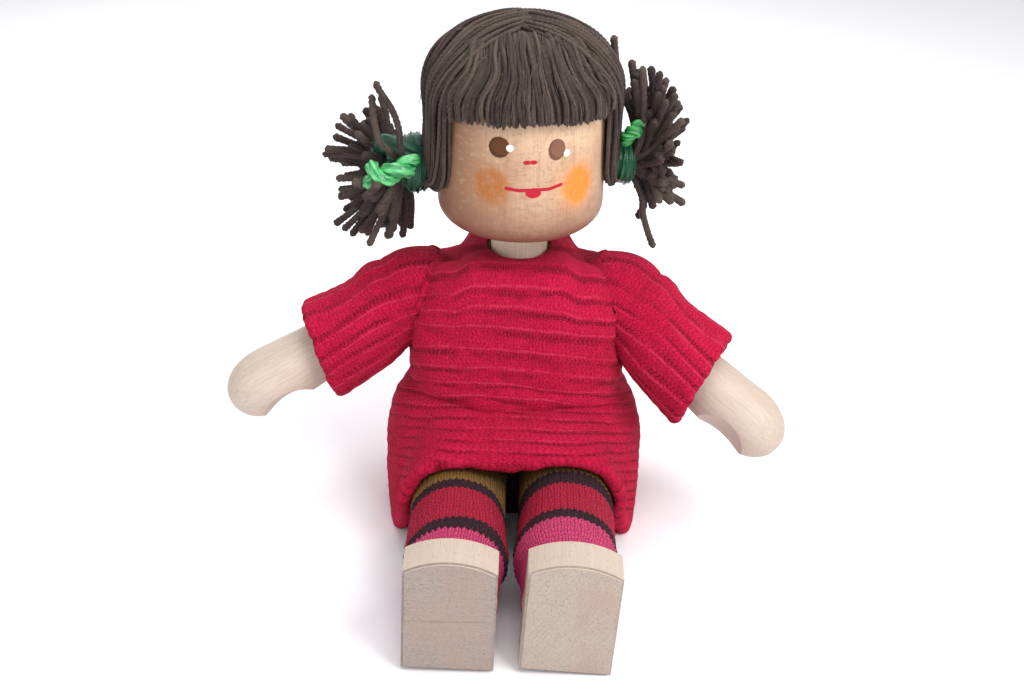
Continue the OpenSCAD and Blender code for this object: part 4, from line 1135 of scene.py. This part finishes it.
# moves points out of the armhole and sideways out of the arm's way, and says which to keep
def roomForArm(points, side):
    sign = signs[side]
    centre, (out, _, _) = shoulderFrame(side)
    rel = points - centre
    a = rel @ out
    p = rel - a[..., None] * out
    e = np.array([sign, 0, 0]) - sign * out[0] * out
    need = dress["sleeveR"] + dress["flare"] * np.clip((a - 7) / 29, 0, 1) ** 2 + 0.45
    pe, ee = p @ e, e @ e
    root = pe ** 2 - ee * ((p ** 2).sum(-1) - need ** 2)
    inside = ((p ** 2).sum(-1) < need ** 2) & (a > 3) & (a < 40)
    shift = np.where(inside, (pe + np.sqrt(np.maximum(root, 0))) / ee, 0)
    points = points - xyz(sign * np.minimum(shift, 9), 0, 0)
    rel = points - centre
    d = np.linalg.norm(rel, axis=2)
    near = dress["puffR"] + 0.4
    outside = centre + rel / d[..., None] * near
    return np.where((d < near)[..., None], outside, points), d > dress["puffR"] - 3.4


# the ribs run level in front and lower at the sides, a little down towards the viewer's right
def ribPhase(points):
    x, y, z = points[..., 0], points[..., 1], points[..., 2]
    level = 74 - z + 0.53 * np.maximum(-y, 0)
    level = level - 0.06 * x * smooth((level - 8) / 10) * smooth((52 - level) / 14)
    level = level + 0.5 * lumps(points * [0.5, 0.5, 0.2], 22, 6)
    return np.interp(level, dress["lines"], np.arange(len(dress["lines"])) + 0.5)


# the shoulders sink a little towards the neck, but not into the wood
def sunk(points):
    x, y, z = np.abs(points[..., 0]), points[..., 1], points[..., 2]
    down = (3.7 + 2.0 * smooth((27 - x) / 7)) * smooth((46 - x) / 19)
    down = down * smooth((x - 12) / 6) * smooth((z - 60) / 17)
    down *= 1 - 0.5 * smooth((-y - 3) / 6) * smooth((27 - x) / 6)
    return xyz(points[..., 0], y, z - down)


# the wood that the dress has to clear: a barrel with a rounded top, and the shoulder knobs
torso = dict(r=19.4, flatR=13, roundW=6.8, roundH=13, roundZ=66, clear=1.4, fromZ=68, knobR=10.8,
             knobFromZ=73.5)


def overTorso(points):
    x, y, z = points[..., 0], points[..., 1], points[..., 2]
    r = np.hypot(x, y)
    fall = np.maximum(r - torso["flatR"], 0) / torso["roundW"]
    top = torso["roundZ"] + torso["roundH"] * np.sqrt(np.clip(1 - fall ** 2, 0, 1))
    z = np.where((r < torso["r"]) & (z > torso["fromZ"]), np.maximum(z, top + torso["clear"]), z)
    far = np.abs(x)
    knobX, _, knobZ = doll["shoulder"]
    knob = torso["knobR"] ** 2 - (far - knobX) ** 2 - y ** 2
    over = knobZ + np.sqrt(np.maximum(knob, 0))
    z = np.where((z > torso["knobFromZ"]) & (far < knobX), np.maximum(z, over), z)
    return xyz(x, y, z)


def makeDress():
    cols, rows = 340, 300
    t = roundSteps(cols)
    points, along = alongRings(dressRings(t), rows, dress["lip"])
    x, y = points[..., 0].copy(), points[..., 1].copy()
    # the collar slopes to the back and stands up at the viewer's right
    near = np.exp(-((along - 5) / 6.0) ** 2)
    points[..., 2] -= 3.4 * smooth((y + 13) / 14) * smooth((np.abs(x) - 8) / 8) * smooth((22 - along) / 14)
    points[..., 2] += near * 3.6 * np.exp(-((x - 20) ** 2 + (y + 7) ** 2) / 22)
    points[..., 2] += near * 1.2 * np.exp(-((x + 20) ** 2 + (y + 7) ** 2) / 26)
    points = overTorso(points)
    normal = gridNormals(points)
    x, z = points[..., 0], points[..., 2]
    phase = ribPhase(points)
    inRib = phase % 1
    ribbed = mix(0.08, 0.24, smooth((z - 24) / 16))
    push = ribbed * (0.5 + 0.5 * np.cos(2 * np.pi * (inRib - 0.42)))
    push = push + 0.07 * np.exp(-((inRib - 0.5) / 0.06) ** 2)
    uneven = 0.36 * lumps(points, 17, 3) + 0.12 * lumps(points * [0.5, 0.5, 1.3], 8, 5)
    push += uneven + 0.07 * lumps(points, 3.4, 8)
    push *= smooth(along / 2.5)
    front = smooth(-points[..., 1] / 8)
    for (x0, z0), (x1, z1), deep, wide in creases:
        ax, az = x1 - x0, z1 - z0
        f = np.clip(((x - x0) * ax + (z - z0) * az) / (ax * ax + az * az), 0, 1)
        d = np.hypot(x - x0 - f * ax, z - z0 - f * az + 0.5 * np.sin(np.pi * f))
        wide = 1.6 * wide
        push -= front * 0.75 * deep * (np.exp(-(d / wide) ** 2)
                                       - 0.4 * np.exp(-((d - 2.2 * wide) / wide) ** 2))
    points = points + normal * push[..., None]
    edge = smooth(1 - (along[-1] - along) / 6.0)
    wave = 0.5 * np.sin(t * 23) + 0.35 * np.sin(t * 41 + 1) + 0.4 * np.sin(t * 9 + 2)
    points[..., 2] += edge * np.maximum(wave[None, :] * 0.6, -0.2)
    points += normal * (edge * smooth((points[..., 2] - 8) / 12) * 0.35)[..., None]
    flat = ribPhase(points)
    points, along = rolledEdge(points, along, dress["lip"], normal)
    phase = np.concatenate([flat, np.repeat(flat[-1:], len(points) - len(flat), axis=0)])
    keep = np.ones(points.shape[:2], bool)
    for side in ("left", "right"):
        points, good = roomForArm(points, side)
        keep &= good
    points = overTorso(sunk(points))
    u, v = np.linspace(0, 195, cols + 1), np.concatenate([phase, phase[:, :1]], axis=1)
    piece = gridPiece("dressBody", points, dressMaterial("dressKnit"), u, v, thickness=dress["thick"],
                      keep=keep)
    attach(piece, "torso")
    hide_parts("dress")
    print("dress is knitted:", len(piece.data.polygons), "faces")


makeDress()

sleeve = dict(puffR=15.0, r=13.1, flare=1.2, length=36.5, ribs=16, ribH=0.34, tilt=35.5, open=123.5,
              thick=1.2, lip=0.6, cuff=dict(left=(-3.4, 1.4), right=(-1.6, 3.6)))


def makeSleeve(side, material):
    centre, axes = shoulderFrame(side)
    seed = 11 if side == "left" else 17
    cols = sleeve["ribs"] * 20
    t = roundSteps(cols)
    endAngle = math.asin(sleeve["r"] / sleeve["puffR"])
    rings, along = [], []
    for s in np.linspace(0, 1, 50):
        g = math.radians(sleeve["tilt"] * (1 - s))
        q = mix(math.radians(sleeve["open"]), endAngle, s)
        c1, c2 = np.array([math.cos(g), 0, math.sin(g)]), np.array([-math.sin(g), 0, math.cos(g)])
        ring = math.cos(q) * c1 + math.sin(q) * (np.cos(t)[:, None] * c2 + np.sin(t)[:, None] * [0, 1, 0])
        rings.append(sleeve["puffR"] * ring)
        along.append(s * 20.0)
    start = sleeve["puffR"] * math.cos(endAngle)
    for s in np.linspace(0, 1, 76)[1:]:
        x = mix(start, sleeve["length"] - sleeve["lip"], s)
        r = sleeve["r"] + sleeve["flare"] * s * s
        rings.append(xyz(x, r * np.sin(t), r * np.cos(t)))
        along.append(20.0 + x - start)
    points, along = np.array(rings), np.array(along)[:, None] + 0 * t
    outward = unit(points * [0, 1, 1])
    s = along / along[-1]
    drift = 0.16 * np.sin(2 * t + seed) + 0.10 * np.sin(5 * t + seed * 2)
    phase = sleeve["ribs"] * t / (2 * np.pi) + drift + 0.12 * np.sin(along * 0.16 + seed + 3 * t)
    inRib = phase % 1
    depth = sleeve["ribH"] * smooth((s - 0.1) / 0.3) * (0.5 - 0.5 * np.cos(2 * np.pi * (inRib - 0.42)))
    depth -= 0.06 * np.exp(-((inRib - 0.5) / 0.06) ** 2) * smooth((s - 0.15) / 0.2)
    uneven = (0.5 + 0.5 * lumps(points * [0.45, 1, 1], 12, seed)) * 0.75
    depth += smooth((s - 0.2) / 0.3) * (uneven + 0.12 * lumps(points, 3.4, seed))
    under = ((1 - np.cos(t)) / 2) ** 3  # pinched under the arm, where it meets the side of the dress
    depth += 2.0 * np.exp(-((points[..., 0] - 12) / 5.5) ** 2) * under
    points = points - outward * depth[..., None]
    a = points[..., 0]
    full = 1.7 * np.exp(-((a - 11.5) / 5.5) ** 2) * smooth(0.65 + np.cos(t))  # over the shoulder
    points += outward * full[..., None]
    ragged = 0.5 * np.sin(t * 9 + seed) + 0.4 * np.sin(t * 16 + 2) + 0.3 * np.sin(t * 29)
    edge = smooth((s - 0.84) / 0.16)
    top, low = sleeve["cuff"][side]
    shear = mix(low, top, 0.5 + 0.5 * np.cos(t))
    points[..., 0] += smooth((s - 0.35) / 0.65) * shear + edge * (ragged * 0.3 - 0.2)
    if side == "left":  # the cuff's upper corner curls out to a small point
        corner = np.exp(-((t - 5.6) / 0.32) ** 2)
        points += outward * (edge * corner * 0.9)[..., None]
        points[..., 0] += edge * corner * 0.6
    points, along = rolledEdge(points, along, sleeve["lip"], outward)
    phase = np.concatenate([phase, np.repeat(phase[-1:], len(points) - len(phase), axis=0)])
    world = sunk(points @ np.array(axes) + centre)
    u = np.concatenate([along, along[:, :1]], axis=1)
    v = np.concatenate([phase, phase[:, :1] + sleeve["ribs"]], axis=1)
    if side == "left":
        world, u, v = world[:, ::-1], u[:, ::-1], v[:, ::-1]
    piece = gridPiece(side + "SleeveKnit", world, material, u, v, thickness=sleeve["thick"])
    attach(piece, side + "_arm")
    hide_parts(side + "_sleeve")


sleeveKnit = dressMaterial("sleeveKnit")
for side in ("left", "right"):
    makeSleeve(side, sleeveKnit)
print("sleeves are knitted")

tights = dict(r=13.4, end=82.4, thick=0.75)


def makeTightsLeg(side):
    sign = signs[side]
    seed = 23 if side == "left" else 29
    cols, rows = 180, 240
    t = roundSteps(cols)
    along = mix(-12.0, tights["end"], np.linspace(0, 1, rows))[:, None] + 0 * t
    r = tights["r"] * np.sqrt(np.clip(1 - (np.minimum(along, 0) / 13.4) ** 2, 0.02, 1))
    points = xyz(r * np.sin(t), -along, r * np.cos(t))
    slack = smooth((along - 50) / 28)  # slack cloth gathers towards the ankle
    wrinkles = 0.45 * np.sin(along * 1.25 + 1.2 * np.sin(t * 2 + seed))
    gather = slack * (wrinkles + 0.35 * lumps(points, 9, seed))
    gather += 0.3 * lumps(points * [1, 0.5, 1], 12, seed + 1) * smooth(along / 20)
    column = 0.2 * np.cos(t * 48)  # the knit's columns stand out a little
    inner = smooth(0.5 - 0.5 * sign * np.sin(t)) * smooth(1.2 + np.cos(t))
    bulge = np.exp(-((along - 62) / 8.0) ** 2) * inner * 1.3
    closing = 1 - smooth((tights["end"] - along) / 2.0)
    wide = r + 0.2 + gather * 0.75 + bulge + column - 0.6 * closing
    wide = np.minimum(wide, mix(15.5, 12.75, smooth((along - 62) / 8))
                      + 0.6 * inner * smooth((78 - along) / 8))
    wide = np.minimum(wide, np.where(np.cos(t) < -0.7, 13.9 / np.maximum(-np.cos(t), 0.7), 99))
    points = xyz(sign * doll["legX"] + wide * np.sin(t), -along, doll["hipZ"] + wide * np.cos(t))
    u, v = np.linspace(0, 84, cols + 1), np.concatenate([along, along[:, :1]], axis=1)
    material = tightsMaterial(side + "TightsStripes", tightsCloth["edges"][side])
    piece = gridPiece(side + "TightsKnit", points[:, ::-1], material, u, v, thickness=tights["thick"])
    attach(piece, side + "_leg")
    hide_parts(side + "_tights_leg")


def makeTightsSeat():
    cols, rows = 160, 70
    t = roundSteps(cols)
    rings = []
    for s in np.linspace(0, 1, rows):
        r = 20.75 * (max(0.03, s / 0.3) ** 0.7 if s < 0.3 else 1) - 0.6 * math.exp(-((s - 0.3) / 0.03) ** 2)
        z = 0.1 if s < 0.3 else mix(0.1, 34, (s - 0.3) / 0.7)
        rings.append(ringAt(t, r, z))
    points = np.array(rings)
    x, y, z = points[..., 0], points[..., 1], points[..., 2]
    room = 13.9
    sweep = (np.abs(x) > 3.0) & ((np.hypot(y, z - 14.2) < room) | ((y < 0) & (z < 14.2 + room))
                                 | ((z < 14.2) & (y < room)))
    u, v = np.linspace(0, 130, cols + 1), np.linspace(0, 55, rows)[:, None]
    piece = gridPiece("tightsSeatKnit", points, tightsMaterial("tightsSeatKnit"), u, v, keep=~sweep)
    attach(piece, "torso")
    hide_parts("tights_seat")


for side in ("left", "right"):
    makeTightsLeg(side)
makeTightsSeat()
print("tights are knitted")


def dressNode(name, material):
    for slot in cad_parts[name].material_slots:
        slot.material = material


innerWood = woodMaterial("innerWood", woods["inner"])
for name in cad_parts:
    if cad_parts[name].material_slots:
        dressNode(name, innerWood)
dressNode("torso", woodMaterial("torsoWood", woods["inner"], clothTo=46.0))
dressNode("head", faceMaterial())
dressNode("neck_peg", woodMaterial("neckWood", woods["neck"]))
for side in ("left", "right"):
    centre, (out, forward, up) = shoulderFrame(side)
    # the right arm's wood is darker by a tenth: painted shade, to offset the key light that falls on it from
    # the right
    tint = 1.0 if side == "left" else 0.9
    wood = dict(woods["pale"], colour=tuple(c * tint for c in woods["pale"]["colour"]))
    dressNode(side + "_arm", woodMaterial(side + "ArmWood", wood, (forward, up, out), tuple(centre)))
    dressNode(side + "_foot", footMaterial(side))
print("wood is finished")
